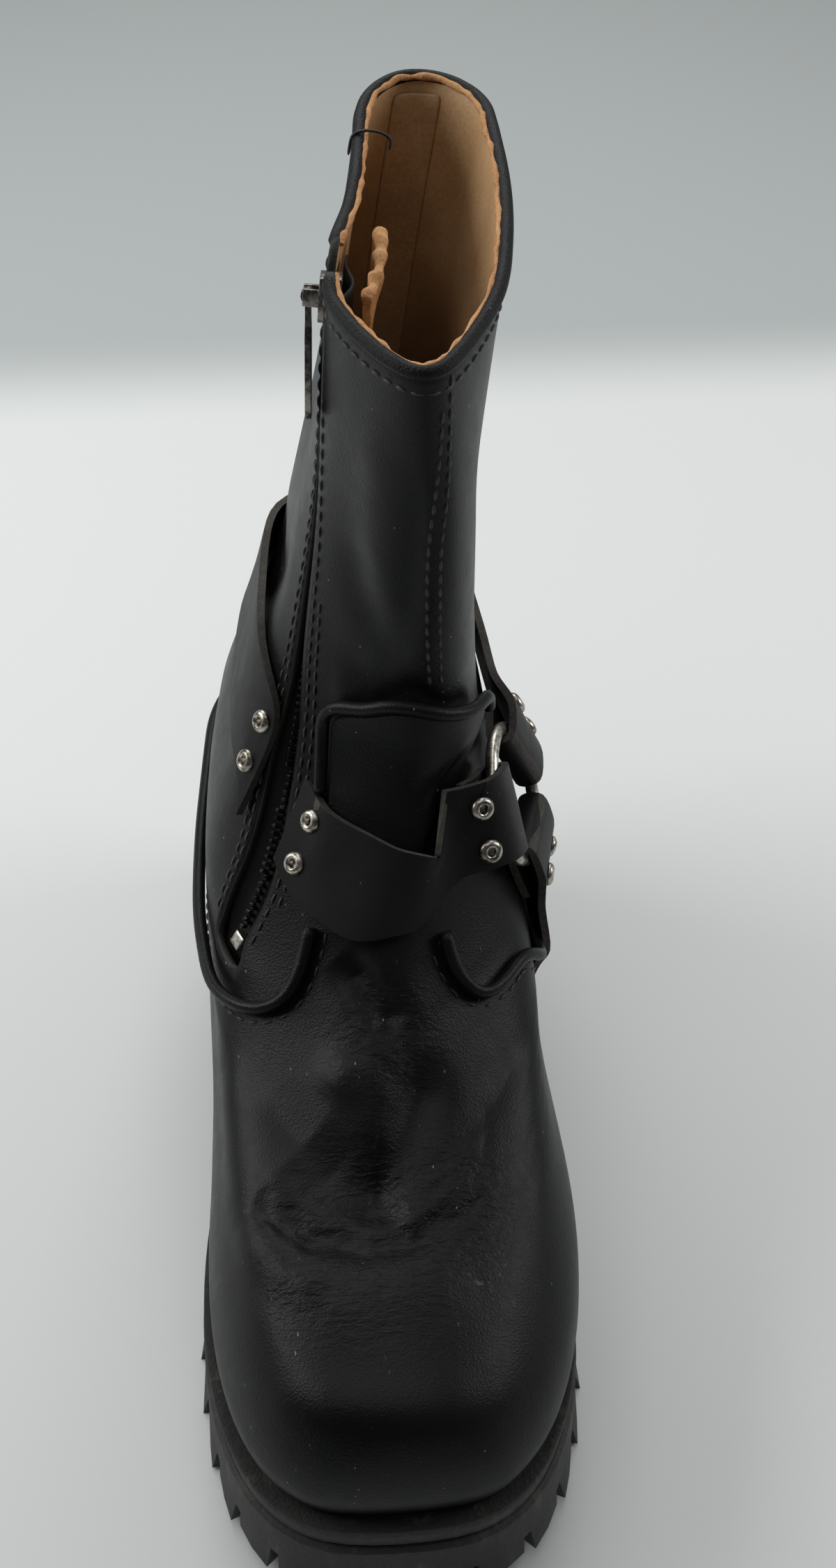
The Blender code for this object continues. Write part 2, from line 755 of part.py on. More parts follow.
def build_outsole():
    levels = [(side_columns(-EDGE_ROUND), outsole_top),
              (side_columns(0.0), lambda y: outsole_top(y) - EDGE_ROUND),
              (side_columns(SIDE_FLARE / 2), lug_root),
              (side_columns(-LUG_BAND), lug_root),
              (side_columns(SIDE_FLARE, True), tread_height),
              (side_columns(-LUG_BAND), tread_height)]
    points = []
    for (medial, lateral), height in levels:
        points += raised(closed_loop(medial, lateral, False), height)
    last = len(MEDIAL_LUGS) - 1
    count = 2 * last
    is_lug = []
    loop = points[3 * count:4 * count]
    for k in range(count):
        index = k if k < last else count - k - 1
        middle = (loop[k].y + loop[(k + 1) % count].y) / 2
        forward = middle < LUGS_END * LAST_LENGTH
        is_lug.append(index % 3 != 2 and forward)
    faces = lugged_faces(count, 3, is_lug)
    faces += ladder(*loop_ids(0, last))
    faces += ladder(*loop_ids(3 * count, last))
    points, faces = used_only(points, faces)
    outsole = make_solid("outsole", points, faces, BLACK_RUBBER)
    join_lugs(outsole, centre_lugs("outsole_centre_lugs", forefoot_lug_rows()))
    return outsole


HEEL_INSET = 0.0020


def build_heel():
    last = max(i for i in range(len(MEDIAL_LUGS))
               if sole_edge(MEDIAL_LUGS[i], -1).y > HEEL_BREAST * LAST_LENGTH)

    def shortened(extra, swept=False):
        medial, lateral = side_columns(extra, swept)
        return medial[:last + 1], lateral[:last + 1]

    def seat(y):
        return lug_root(y) - GAP

    def root(y):
        return LUG_DEPTH

    def ground(y):
        return 0.0
    levels = [(shortened(-HEEL_INSET), seat),
              (shortened(-HEEL_INSET / 2), root),
              (shortened(-LUG_BAND), root),
              (shortened(0.0, True), ground),
              (shortened(-LUG_BAND), ground)]
    points = []
    for (medial, lateral), height in levels:
        points += raised(closed_loop(medial, lateral, True), height)
    count = 2 * last + 1
    is_lug = []
    for k in range(count):
        index = k if k <= last else count - k - 1
        is_lug.append(k == last or index % 3 != 2)
    faces = lugged_faces(count, 2, is_lug)
    for start in (0, 2 * count):
        medial = [start + i for i in range(last + 1)]
        lateral = [start] + [start + count - i for i in range(1, last + 1)]
        faces += ladder(medial, lateral)
    points, faces = used_only(points, faces)
    heel = make_solid("heel", points, faces, BLACK_RUBBER)
    pad = box_solid("heel_pad", HEEL_PAD, BLACK_RUBBER)
    pad.matrix_world = Matrix.Translation((0.0, 0.0, HEEL_PAD[2] / 2))
    boolean(heel, pad, "UNION")
    return heel


# Upper

def slot_width(place):
    return hermite([row.ring for row in SLOT_WIDTHS],
                   [row.width for row in SLOT_WIDTHS], place)


def zip_speed(place, side):
    # Metres round the upper per unit of u, beside the zip
    return (upper_point(0.5 + side * 0.02, place)
            - upper_point(0.5, place)).length / 0.02


def row_places():
    places = []
    for ring, count in enumerate(ROWS_BETWEEN):
        places += [ring + i / count for i in range(count)]
    places.append(float(LAST_RING))
    nearest = min(range(len(places)), key=lambda i: abs(places[i] - ZIP_BOTTOM_RING))
    places[nearest] = ZIP_BOTTOM_RING
    return places, nearest


def row_columns(place):
    # Column places of one row; the slot's lips are two neighbours
    half = slot_width(max(place, ZIP_BOTTOM_RING)) / 2
    half_columns = SIDE_COLUMNS // 2
    to_lip = 0.5 - half / zip_speed(place, -1)
    rear = [to_lip * i / half_columns for i in range(half_columns + 1)]
    to_lip = 0.5 - half / zip_speed(place, 1)
    front = [1.0 - to_lip * (1 - i / half_columns) for i in range(half_columns + 1)]
    lateral = [1.0 + i / SIDE_COLUMNS for i in range(1, SIDE_COLUMNS)]
    return rear + front + lateral


def build_upper():
    places, zip_row = row_places()
    columns = len(row_columns(0.0))
    slot = SIDE_COLUMNS // 2
    outer, inner = [], []
    for place in places:
        for u in row_columns(place):
            point, along, rise, normal = last_frame(u, place)
            inner.append(point)
            if place in (places[0], places[-1]):
                # Keep both rims level across the wall
                normal = (normal - rise * normal.dot(Vector((0, 0, 1)))
                          / max(rise.z, 0.2)).normalized()
            outer.append(point + normal * WALL)
    points = outer + inner
    shift = len(outer)
    faces = []

    def is_open(row, k):
        return k == slot and row >= zip_row

    def add_wall(a, b):
        faces.append([a, b, b + shift, a + shift])
    for row in range(len(places) - 1):
        for k in range(columns):
            n = (k + 1) % columns
            a, b = row * columns + k, row * columns + n
            c, d = b + columns, a + columns
            if is_open(row, k):
                add_wall(a, d)
                add_wall(b, c)
                if row == zip_row:
                    add_wall(a, b)
                continue
            faces.append([a, b, c, d])
            faces.append([a + shift, b + shift, c + shift, d + shift])
    top = (len(places) - 1) * columns
    for k in range(columns):
        n = (k + 1) % columns
        add_wall(k, n)
        if k != slot:
            add_wall(top + k, top + n)
    return make_solid("upper", points, faces, BLACK_LEATHER)


# Sheets and tubes that lie on the upper

def grid_solid(name, outer, inner, material):
    # Closes two sheets of points, stored row by row, into one solid
    rows, columns = len(outer), len(outer[0])
    points = [p for row in outer for p in row] + [p for row in inner for p in row]
    shift = rows * columns
    faces = []
    for i in range(rows - 1):
        for j in range(columns - 1):
            a = i * columns + j
            faces.append([a, a + 1, a + columns + 1, a + columns])
            faces.append([a + shift + k for k in (0, 1, columns + 1, columns)])
    edge = [j for j in range(columns)]
    edge += [i * columns + columns - 1 for i in range(1, rows)]
    edge += [(rows - 1) * columns + j for j in range(columns - 2, -1, -1)]
    edge += [i * columns for i in range(rows - 2, 0, -1)]
    for a, b in zip(edge, edge[1:] + edge[:1]):
        faces.append([a, b, b + shift, a + shift])
    return make_solid(name, points, faces, material)


def sheet_normals(sheet):
    rows, columns = len(sheet), len(sheet[0])
    normals = []
    for i in range(rows):
        line = []
        for j in range(columns):
            down = sheet[min(i + 1, rows - 1)][j] - sheet[max(i - 1, 0)][j]
            across = sheet[i][min(j + 1, columns - 1)] - sheet[i][max(j - 1, 0)]
            line.append(across.cross(down).normalized())
        normals.append(line)
    return normals


def sheet_solid(name, sheet, thickness, material):
    # Gives a sheet of mid points its thickness, half to each face
    normals = sheet_normals(sheet)
    half = thickness / 2
    outer = [[p + n * half for p, n in zip(*rows)] for rows in zip(sheet, normals)]
    inner = [[p - n * half for p, n in zip(*rows)] for rows in zip(sheet, normals)]
    return grid_solid(name, outer, inner, material)


def smooth_stops(stops, substeps):
    knots = list(range(len(stops)))
    places = [i / substeps for i in range((len(stops) - 1) * substeps + 1)]
    columns = list(zip(*stops))
    return [type(stops[0])(*(hermite(knots, column, place) for column in columns))
            for place in places]


def tube(name, path, radius, sides, material, closed=False):
    count = len(path)
    points, faces = [], []
    side = None
    for i, point in enumerate(path):
        if closed:
            tangent = path[(i + 1) % count] - path[i - 1]
        else:
            tangent = path[min(i + 1, count - 1)] - path[max(i - 1, 0)]
        tangent.normalize()
        if side is None:
            side = tangent.orthogonal().normalized()
        side = (side - tangent * side.dot(tangent)).normalized()
        other = tangent.cross(side)
        for k in range(sides):
            angle = 2 * math.pi * k / sides
            points.append(point + (side * math.cos(angle)
                                   + other * math.sin(angle)) * radius)
    for i in range(count if closed else count - 1):
        n = (i + 1) % count
        for k in range(sides):
            m = (k + 1) % sides
            faces.append([i * sides + k, i * sides + m, n * sides + m, n * sides + k])
    if not closed:
        faces.append(list(range(sides)))
        faces.append(list(range((count - 1) * sides, count * sides)))
    return make_solid(name, points, faces, material, sharp_angle=1.0)


def even_path(points, step):
    # The same path with points at equal steps
    lengths = [0.0]
    for a, b in zip(points, points[1:]):
        lengths.append(lengths[-1] + (b - a).length)
    count = max(2, round(lengths[-1] / step))
    path, index = [], 0
    for i in range(count + 1):
        target = lengths[-1] * i / count
        while index < len(points) - 2 and lengths[index + 1] < target:
            index += 1
        f = (target - lengths[index]) / (lengths[index + 1] - lengths[index])
        path.append(points[index].lerp(points[index + 1], min(max(f, 0.0), 1.0)))
    return path


# Tongue tab and piping

def tab_place(height, f):
    # f runs 0 to 1 from the tab's left edge to its right edge
    heights = [row.height for row in TAB_ROWS]
    left = hermite(heights, [row.left for row in TAB_ROWS], height)
    right = hermite(heights, [row.right for row in TAB_ROWS], height)
    top = TAB_TOP_RING + TAB_TOP_BOW * math.sin(math.pi * f) - 0.06 * f
    ring = TAB_FOOT_RING + (top - TAB_FOOT_RING) * height
    return left + (right - left) * f, ring


def tab_point(height, f, offset):
    u, ring = tab_place(height, f)
    return on_upper(u, ring, offset + TAB_TOP_STANDS_OFF * height ** 2)


def build_tab():
    middle = TAB_CLEARANCE + TAB_THICKNESS / 2
    sheet = [[tab_point(h, j / TAB_COLUMNS, middle) for j in range(TAB_COLUMNS + 1)]
             for h in TAB_HEIGHTS]
    return sheet_solid("tongue_tab", sheet, TAB_THICKNESS, BLACK_LEATHER)


def build_tab_piping():
    # The rolled edge runs up one side of the tab, over the top and down
    lift = TAB_CLEARANCE + PIPING_RADIUS
    border = [(h, 0.0) for h in (0.46, *TAB_HEIGHTS[3:])]
    border += [(1.0, j / TAB_COLUMNS) for j in range(1, TAB_COLUMNS + 1)]
    border += [(TAB_HEIGHTS[-2], 1.0)]
    inside = [tab_point(h, f, lift) for h, f in border]
    path = []
    for i, point in enumerate(inside):
        tangent = inside[min(i + 1, len(inside) - 1)] - inside[max(i - 1, 0)]
        u, ring = tab_place(*border[i])
        normal = upper_frame(u, ring)[3]
        outward = tangent.cross(normal).normalized()
        if outward.dot(point - tab_point(0.5, 0.5, lift)) < 0:
            outward.negate()
        path.append(point + outward * (PIPING_RADIUS + TAB_PIPING_GAP))
    return tube("piping_tab", path, PIPING_RADIUS, PIPING_SIDES, BLACK_LEATHER)


def build_vamp_piping():
    lift = TAB_CLEARANCE + PIPING_RADIUS
    stops = smooth_stops(VAMP_LINE, 4)
    path = [on_upper(stop.round, stop.ring, lift) for stop in stops]
    return tube("piping_vamp", even_path(path, PIPING_STEP), PIPING_RADIUS,
                PIPING_SIDES, BLACK_LEATHER)


# Ring and straps

def ring_frame():
    point, back, rise, normal = upper_frame(RING_ROUND, RING_PLACE)
    back = (back - normal * back.dot(normal)).normalized()
    up = back.cross(normal).normalized()
    if up.z < 0:
        up.negate()
    return point + normal * RING_HEIGHT, back, up, normal


RING_CENTRE, RING_BACK, RING_UP, RING_NORMAL = ring_frame()


def ring_plane(angle, distance, sideways, height):
    # A place by its angle and distance from the ring's centre, its shift
    # to the side and its height over the ring's plane
    radians = math.radians(angle)
    out = RING_BACK * math.cos(radians) + RING_UP * math.sin(radians)
    side = RING_BACK * -math.sin(radians) + RING_UP * math.cos(radians)
    return RING_CENTRE + out * distance + side * sideways + RING_NORMAL * height


def drop_to_upper(point, u, place):
    # Nearest place on the upper to a point, starting from a guess
    for _ in range(30):
        here, along, rise, normal = upper_frame(u, place)
        away = point - here
        u += 0.6 * away.dot(along) / ((upper_point(u + 0.01, place) - here).length / 0.01)
        span = (upper_point(u, min(place + 0.05, LAST_RING)) - upper_point(u, place)).length
        place += 0.6 * away.dot(rise) / (span / 0.05)
        place = min(max(place, 0.0), LAST_RING - 0.06)
    return u, place


def build_ring():
    count = 24
    path = [ring_plane(360 * i / count, RING_RADIUS, 0.0, 0.0) for i in range(count)]
    return tube("ring", path, RING_WIRE, 8, STEEL, closed=True)


LAYER_HEIGHT = RING_WIRE + FOLD_CLEARANCE + STRAP_THICKNESS / 2


def fold_rows(angle, flip):
    # Mid points of the strap's end: in over the ring, folded, and out again
    wire = math.sqrt((RING_RADIUS - RING_WIRE) ** 2 - FOLD_HALF_WIDTH ** 2)
    turn = wire - FOLD_CLEARANCE + FOLD_REACH - STRAP_THICKNESS / 2
    flat_end = RING_RADIUS - 0.001
    bend = [(turn - FOLD_REACH * math.cos(a), math.sin(a))
            for a in (math.radians(d) for d in (90, 45, 0, -45, -90))]
    sides = (-1, 0, 1) if not flip else (1, 0, -1)
    rows = []

    def on_layer(distance, layer):
        # Leaves the ring's plane for the upper's face over BLEND_SPAN
        line = []
        f = min(max((distance - BLEND_START) / BLEND_SPAN, 0.0), 1.0)
        blend = f * f * (3 - 2 * f)
        for s in sides:
            sideways = s * FOLD_HALF_WIDTH
            flat = ring_plane(angle, distance, sideways, layer * LAYER_HEIGHT)
            if blend:
                base = ring_plane(angle, distance, sideways, -RING_HEIGHT)
                u, place = drop_to_upper(base, RING_ROUND, RING_PLACE)
                lift = 0.0008 + STRAP_THICKNESS / 2
                if layer > 0:
                    lift += STRAP_THICKNESS + 0.0005
                flat = flat.lerp(on_upper(u, place, lift), blend)
            line.append(flat)
        return line
    for distance in (BLEND_START + BLEND_SPAN, 0.0335, RIVET_DISTANCE, 0.0240, flat_end):
        rows.append(on_layer(distance, 1))
    for distance, height in bend:
        rows.append([ring_plane(angle, distance, s * FOLD_HALF_WIDTH,
                                height * LAYER_HEIGHT) for s in sides])
    for distance in (flat_end, 0.0240, RETURN_END):
        rows.append(on_layer(distance, -1))
    return rows


def edge_row(edge):
    a = (edge.round_a, edge.ring_a, edge.lift_a)
    b = (edge.round_b, edge.ring_b, edge.lift_b)
    row = []
    for f in (0.0, 0.5, 1.0):
        u, ring, lift = (p + (q - p) * f for p, q in zip(a, b))
        row.append(on_upper(u, ring, (lift + 0.5) * STRAP_THICKNESS))
    return row


def build_strap(name, table, angle, flip):
    sheet = [edge_row(edge) for edge in smooth_stops(table, STRAP_SUBSTEPS)]
    sheet += fold_rows(angle, flip)
    return sheet_solid(name, sheet, STRAP_THICKNESS, STRAP_LEATHER)


# Rivets

def place_on(item, origin, across, normal):
    # Stands an object built around Z on a place with the given normal
    side = (across - normal * across.dot(normal)).normalized()
    other = normal.cross(side)
    matrix = Matrix((side, other, normal)).transposed().to_4x4()
    matrix.translation = origin
    item.matrix_world = matrix


def turned(name, profile, sides, material):
    points, faces = [], []
    for radius, height in profile[1:-1]:
        for k in range(sides):
            angle = 2 * math.pi * k / sides
            points.append(Vector((radius * math.cos(angle),
                                  radius * math.sin(angle), height)))
    rings = len(profile) - 2
    for i in range(rings - 1):
        for k in range(sides):
            n = (k + 1) % sides
            faces.append([i * sides + k, i * sides + n,
                          (i + 1) * sides + n, (i + 1) * sides + k])
    faces.append(list(range(sides)))
    faces.append(list(range((rings - 1) * sides, rings * sides)))
    return make_solid(name, points, faces, material, sharp_angle=0.5)


def build_rivet(name, target, origin, normal, across, length):
    # The head lies on the strap, the shank in a hole cut through it
    hollow = RIVET_HOLLOW
    profile = ((0.0, 0.0004), (hollow * 0.6, 0.0004), (hollow, RIVET_HEIGHT),
               (RIVET_RADIUS, 0.0), (RIVET_SHANK, 0.0), (RIVET_SHANK, -length),
               (0.0, -length))
    rivet = turned(name, profile, RIVET_SIDES, STEEL)
    place_on(rivet, origin, across, normal)
    reach = length + 0.0008
    hole = RIVET_SHANK + GAP
    bore = turned(name + "_bore", ((0.0, 0.002), (hole, 0.002), (hole, -reach),
                                   (0.0, -reach)), RIVET_SIDES, STEEL)
    place_on(bore, origin, across, normal)
    bore.hide_render = True
    bore.display_type = "WIRE"
    cut = target.modifiers.new(name, "BOOLEAN")
    cut.operation = "DIFFERENCE"
    cut.object = bore
    return rivet


def fold_rivets(prefix, strap, angle):
    # Through both layers of the folded end
    for number, s in enumerate((-0.5, 0.5)):
        sideways = s * RIVET_SPACING
        base = ring_plane(angle, RIVET_DISTANCE, sideways, -RING_HEIGHT)
        u, place = drop_to_upper(base, RING_ROUND, RING_PLACE)
        point, along, rise, normal = upper_frame(u, place)
        build_rivet(f"{prefix}_{number + 1}", strap, *rivet_seat(strap, point, normal),
                    along, 2 * STRAP_THICKNESS + 0.0004)


def end_rivets(prefix, strap, table):
    # Through the strap's free end
    ahead = RIVET_FROM_END
    first, second = edge_row(table[0]), edge_row(table[1])
    upper = first[0].lerp(first[2], 0.5)
    width = (first[2] - first[0]).length
    onward = ((second[1] - first[1]).normalized()) * ahead
    for number, s in enumerate((-0.5, 0.5)):
        target = upper + (first[2] - first[0]) * (s * RIVET_SPACING / width) + onward
        u, place = drop_to_upper(target, table[0].round_a, table[0].ring_a)
        point, along, rise, normal = upper_frame(u, place)
        build_rivet(f"{prefix}_{number + 1}", strap, *rivet_seat(strap, point, normal),
                    along, STRAP_THICKNESS + 0.0003)


def rivet_seat(strap, point, normal):
    # The lowest place over the strap where a flat head clears it all round
    side = normal.orthogonal().normalized()
    other = normal.cross(side)
    start = point + normal * 0.03
    starts = [start]
    for k in range(RIVET_SIDES):
        angle = 2 * math.pi * k / RIVET_SIDES
        starts.append(start + (side * math.cos(angle)
                               + other * math.sin(angle)) * RIVET_RADIUS)
    hits = [strap.ray_cast(ray, -normal) for ray in starts]
    hits = [hit for hit in hits if hit[0]]
    if not hits:
        return point + normal * 2 * STRAP_THICKNESS, normal
    facing = sum((hit[2] for hit in hits), Vector()).normalized()
    top = max((hit[1] - hits[0][1]).dot(facing) for hit in hits)
    return hits[0][1] + facing * (top + GAP), facing


# Zip

def zip_frame(place):
    return upper_frame(0.5, place)


def beside_zip(place, sideways, depth):
    # Sideways is toward the front; depth is under the upper's outer face
    speed = zip_speed(place, 1 if sideways > 0 else -1)
    return on_upper(0.5 + sideways / speed, place, -depth)


def zip_rings(start, end, count):
    return [start + (end - start) * i / count for i in range(count + 1)]


CHAIN_DEPTH = WALL + INNER_CLEARANCE + CHAIN_THICKNESS / 2
TAPE_DEPTH = WALL + 2 * INNER_CLEARANCE + CHAIN_THICKNESS + TAPE_THICKNESS / 2


def build_zip_tape():
    edge_depth = WALL + INNER_CLEARANCE + TAPE_THICKNESS / 2
    section = ((-TAPE_HALF_WIDTH, edge_depth), (-TAPE_HALF_WIDTH * 0.6, edge_depth),
               (-CHAIN_HALF_WIDTH, TAPE_DEPTH), (CHAIN_HALF_WIDTH, TAPE_DEPTH),
               (TAPE_HALF_WIDTH * 0.6, edge_depth), (TAPE_HALF_WIDTH, edge_depth))
    sheet = [[beside_zip(place, sideways, depth) for sideways, depth in section]
             for place in zip_rings(ZIP_BOTTOM_RING - 0.15, 10.93, 11)]
    return sheet_solid("zip_tape", sheet, TAPE_THICKNESS, CLOTH)


def build_zip_chain():
    sheet = [[beside_zip(place, sideways, CHAIN_DEPTH)
              for sideways in (-CHAIN_HALF_WIDTH, CHAIN_HALF_WIDTH)]
             for place in zip_rings(CHAIN_FOOT_RING, CHAIN_TOP_RING, 15)]
    return sheet_solid("zip_chain", sheet, CHAIN_THICKNESS, DARK_STEEL)


def build_gusset():
    # Leans in from the wall toward its top
    foot = TAPE_DEPTH + (TAPE_THICKNESS + GUSSET_THICKNESS) / 2 + GUSSET_CLEARANCE
    places = zip_rings(ZIP_BOTTOM_RING, 10.95, 8)
    sheet = []
    for i, place in enumerate(places):
        lean = GUSSET_TOP_LEAN * (i / 8) ** 2
        sheet.append([beside_zip(place, -GUSSET_REAR + (GUSSET_REAR + GUSSET_FRONT) * f,
                                 foot + lean * (0.4 + 0.6 * math.sin(math.pi * f)))
                      for f in (0.0, 0.33, 0.67, 1.0)])
    return sheet_solid("zip_gusset", sheet, GUSSET_THICKNESS, TAN_LEATHER)


def build_zip_stop():
    stop = box_solid("zip_stop", STOP_SIZE, STEEL)
    point, along, rise, normal = zip_frame(STOP_RING)
    centre = point - normal * (CHAIN_DEPTH - 0.0004)
    place_on(stop, centre, along, normal)
    return stop


def slider_matrix():
    # X toward the front, Y up the zip, Z outward, on the upper's face
    point, along, rise, normal = zip_frame(SLIDER_PLACE)
    side = rise.cross(normal).normalized()
    matrix = Matrix((side, rise, normal)).transposed().to_4x4()
    matrix.translation = point
    return matrix


def build_slider():
    frame = slider_matrix()
    slider = box_solid("zip_slider", SLIDER_SIZE, DARK_STEEL)
    slider.matrix_world = frame @ Matrix.Translation(
        (0, 0, SLIDER_STANDS_OUT - SLIDER_SIZE[2] / 2))
    ear_side = (EYE_WIDTH + EAR_SIZE[0]) / 2 + GAP
    for name, side in (("zip_ear_front", 1), ("zip_ear_rear", -1)):
        ear = box_solid(name, EAR_SIZE, DARK_STEEL)
        height = SLIDER_STANDS_OUT - 0.0004 + EAR_SIZE[2] / 2
        ear.matrix_world = frame @ Matrix.Translation((side * ear_side, 0, height))
        boolean(slider, ear, "UNION")
    pin = turned("zip_pin", ((0, 0), (PIN_RADIUS, -ear_side), (PIN_RADIUS, ear_side),
                             (0, 0)), 8, DARK_STEEL)
    pin.matrix_world = (frame @ Matrix.Translation((0, 0, PIN_HEIGHT))
                        @ Matrix.Rotation(math.pi / 2, 4, "Y"))
    boolean(slider, pin, "UNION")
    return slider


def build_pull():
    # Origin on the hinge's axis; hangs down along local -Y
    frame = slider_matrix()
    pivot = frame @ Vector((0, 0, PIN_HEIGHT))
    low, high = 9.0, SLIDER_PLACE
    for _ in range(30):
        middle = (low + high) / 2
        if (upper_point(0.5, middle) - pivot).length > PULL_LENGTH:
            low = middle
        else:
            high = middle
    tip = on_upper(0.5, low, PULL_TIP_STANDS_OFF)
    across = frame.to_3x3() @ Vector((1, 0, 0))
    up = pivot - tip
    up = (up - across * up.dot(across)).normalized()
    outward = across.cross(up).normalized()
    matrix = Matrix((across, up, outward)).transposed().to_4x4()
    matrix.translation = pivot

    neck = EYE_WIDTH / 2
    body = PULL_HALF_WIDTH
    start = -EYE_RADIUS * 0.6
    outline = [(neck, start), (-neck, start), (-neck, -0.0055), (-body, -0.0100)]
    for i in range(7):
        angle = math.pi * i / 6
        outline.append((-body * math.cos(angle),
                        -PULL_LENGTH + body - body * math.sin(angle)))
    outline += [(body, -0.0100), (neck, -0.0055)]
    count = len(outline)
    half = PULL_THICKNESS / 2
    points = [Vector((x, y, z)) for z in (-half, half) for x, y in outline]
    faces = [list(range(count)), list(range(count, 2 * count))]
    faces += [[k, (k + 1) % count, (k + 1) % count + count, k + count]
              for k in range(count)]
    pull = make_solid("zip_pull", points, faces, DARK_STEEL)
    pull.matrix_world = matrix
    turn = Matrix.Rotation(math.pi / 2, 4, "Y")
    for name, radius, reach, operation in (
            ("zip_eye", EYE_RADIUS, EYE_WIDTH / 2 - 0.0001, "UNION"),
            ("zip_eye_bore", EYE_BORE + GAP, EYE_WIDTH, "DIFFERENCE")):
        barrel = turned(name, ((0, 0), (radius, -reach), (radius, reach), (0, 0)),
                        12, DARK_STEEL)
        barrel.matrix_world = matrix @ turn
        boolean(pull, barrel, operation)
    return pull


build_outsole()
build_heel()
build_midsole()
build_welt()
build_insole()
build_upper()
build_tab()
build_tab_piping()
build_vamp_piping()
build_ring()
STRAPS = (("front", FRONT_STRAP, FRONT_STRAP_ANGLE, False, True),
          ("rear", REAR_STRAP, REAR_STRAP_ANGLE, True, True),
          ("lower", LOWER_STRAP, LOWER_STRAP_ANGLE, False, False))
for strap_name, strap_table, strap_angle, flipped, has_free_end in STRAPS:
    strap = build_strap("strap_" + strap_name, strap_table, strap_angle, flipped)
    bpy.context.view_layer.update()
    fold_rivets("rivet_" + strap_name + "_ring", strap, strap_angle)
    if has_free_end:
        end_rivets("rivet_" + strap_name + "_end", strap, strap_table)
build_zip_tape()
build_zip_chain()
build_zip_stop()
build_slider()
build_pull()
build_gusset()
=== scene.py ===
import math
import random

import bmesh
import bpy
from mathutils import Matrix, Vector, noise
from mathutils.bvhtree import BVHTree


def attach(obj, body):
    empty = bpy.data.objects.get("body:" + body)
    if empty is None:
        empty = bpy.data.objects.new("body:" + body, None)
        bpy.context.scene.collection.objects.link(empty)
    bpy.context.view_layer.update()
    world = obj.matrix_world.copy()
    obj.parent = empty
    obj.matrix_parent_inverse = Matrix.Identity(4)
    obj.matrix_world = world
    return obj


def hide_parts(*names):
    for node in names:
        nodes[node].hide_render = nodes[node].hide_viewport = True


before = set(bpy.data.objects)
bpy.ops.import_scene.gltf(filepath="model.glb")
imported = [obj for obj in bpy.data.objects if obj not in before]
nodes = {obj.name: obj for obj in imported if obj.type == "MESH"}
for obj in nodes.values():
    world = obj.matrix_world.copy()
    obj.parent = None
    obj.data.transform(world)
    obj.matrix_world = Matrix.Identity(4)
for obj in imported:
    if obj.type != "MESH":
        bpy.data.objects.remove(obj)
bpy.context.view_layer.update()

# Left harness boot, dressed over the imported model. Metres, toe to -Y,
# outer side to +X.

scene = bpy.context.scene
bodyName = "boot"
pullBody = "pull_tab"


# Camera, as in the photograph: standing over the toe, looking down

cameraSettings = {"place": (-0.0044, -0.4838, 0.511), "forward": (0.069, 0.998),
                  "down": 42.4, "focalPixels": 2631.0, "longSide": 2250.0,
                  "centre": (600, 1125), "sensor": 36.0, "clip": (0.01, 50.0)}


def makeCamera(settings):
    data = bpy.data.cameras.new("camera")
    camera = bpy.data.objects.new("camera", data)
    scene.collection.objects.link(camera)
    data.sensor_fit = "AUTO"
    data.sensor_width = settings["sensor"]
    data.lens = settings["sensor"] * settings["focalPixels"] / settings["longSide"]
    data.clip_start, data.clip_end = settings["clip"]
    flat = Vector((*settings["forward"], 0.0)).normalized()
    tilt = math.radians(settings["down"])
    look = flat * math.cos(tilt) + Vector((0, 0, -math.sin(tilt)))
    camera.location = settings["place"]
    camera.rotation_euler = look.to_track_quat("-Z", "Y").to_euler()
    scene.camera = camera


makeCamera(cameraSettings)


# Shader maths: a socket wrapped so that + - * add Math nodes

class Shade:
    def __init__(self, tree, out):
        self.tree = tree
        self.out = out

    def node(self, kind, settings=None, inputs=None, out=0):
        # Any node: its settings first, then values or links
        made = self.tree.nodes.new(kind)
        for name, value in (settings or {}).items():
            setattr(made, name, value)
        for name, value in (inputs or {}).items():
            socket = made.inputs[name]
            if isinstance(value, Shade):
                self.tree.links.new(value.out, socket)
            else:
                socket.default_value = value
        return Shade(self.tree, made.outputs[out])

    def maths(self, operation, first, second, clamp=False):
        return self.node("ShaderNodeMath", {"operation": operation, "use_clamp": clamp},
                         {0: first, 1: second})

    def __add__(self, other):
        return self.maths("ADD", self, other)

    def __radd__(self, other):
        return self.maths("ADD", other, self)

    def __sub__(self, other):
        return self.maths("SUBTRACT", self, other)

    def __rsub__(self, other):
        return self.maths("SUBTRACT", other, self)

    def __mul__(self, other):
        return self.maths("MULTIPLY", self, other)

    def clamped(self):
        return self.maths("ADD", self, 0.0, clamp=True)

    def over(self, low, high):
        # 0 below low, 1 above high, smooth between
        return self.node("ShaderNodeMapRange",
                         {"interpolation_type": "SMOOTHSTEP"},
                         {"Value": self, "From Min": low, "From Max": high})

    def mixed(self, first, second):
        # Colours, chosen by this value
        return self.node("ShaderNodeMix", {"data_type": "RGBA"},
                         {0: self, 6: first, 7: second}, out=2)


def newMaterial(name):
    material = bpy.data.materials.new(name)
    material.use_nodes = True
    tree = material.node_tree
    shader = tree.nodes["Principled BSDF"]
    place = Shade(tree, tree.nodes.new("ShaderNodeTexCoord").outputs["Object"])
    return material, tree, shader, place


def finishMaterial(tree, shader, place, colour, roughness, height, distance):
    tree.links.new(colour.out, shader.inputs["Base Color"])
    if isinstance(roughness, Shade):
        tree.links.new(roughness.out, shader.inputs["Roughness"])
    else:
        shader.inputs["Roughness"].default_value = roughness
    bump = place.node("ShaderNodeBump", None,
                      {"Height": height, "Distance": distance, "Strength": 1.0})
    tree.links.new(bump.out, shader.inputs["Normal"])


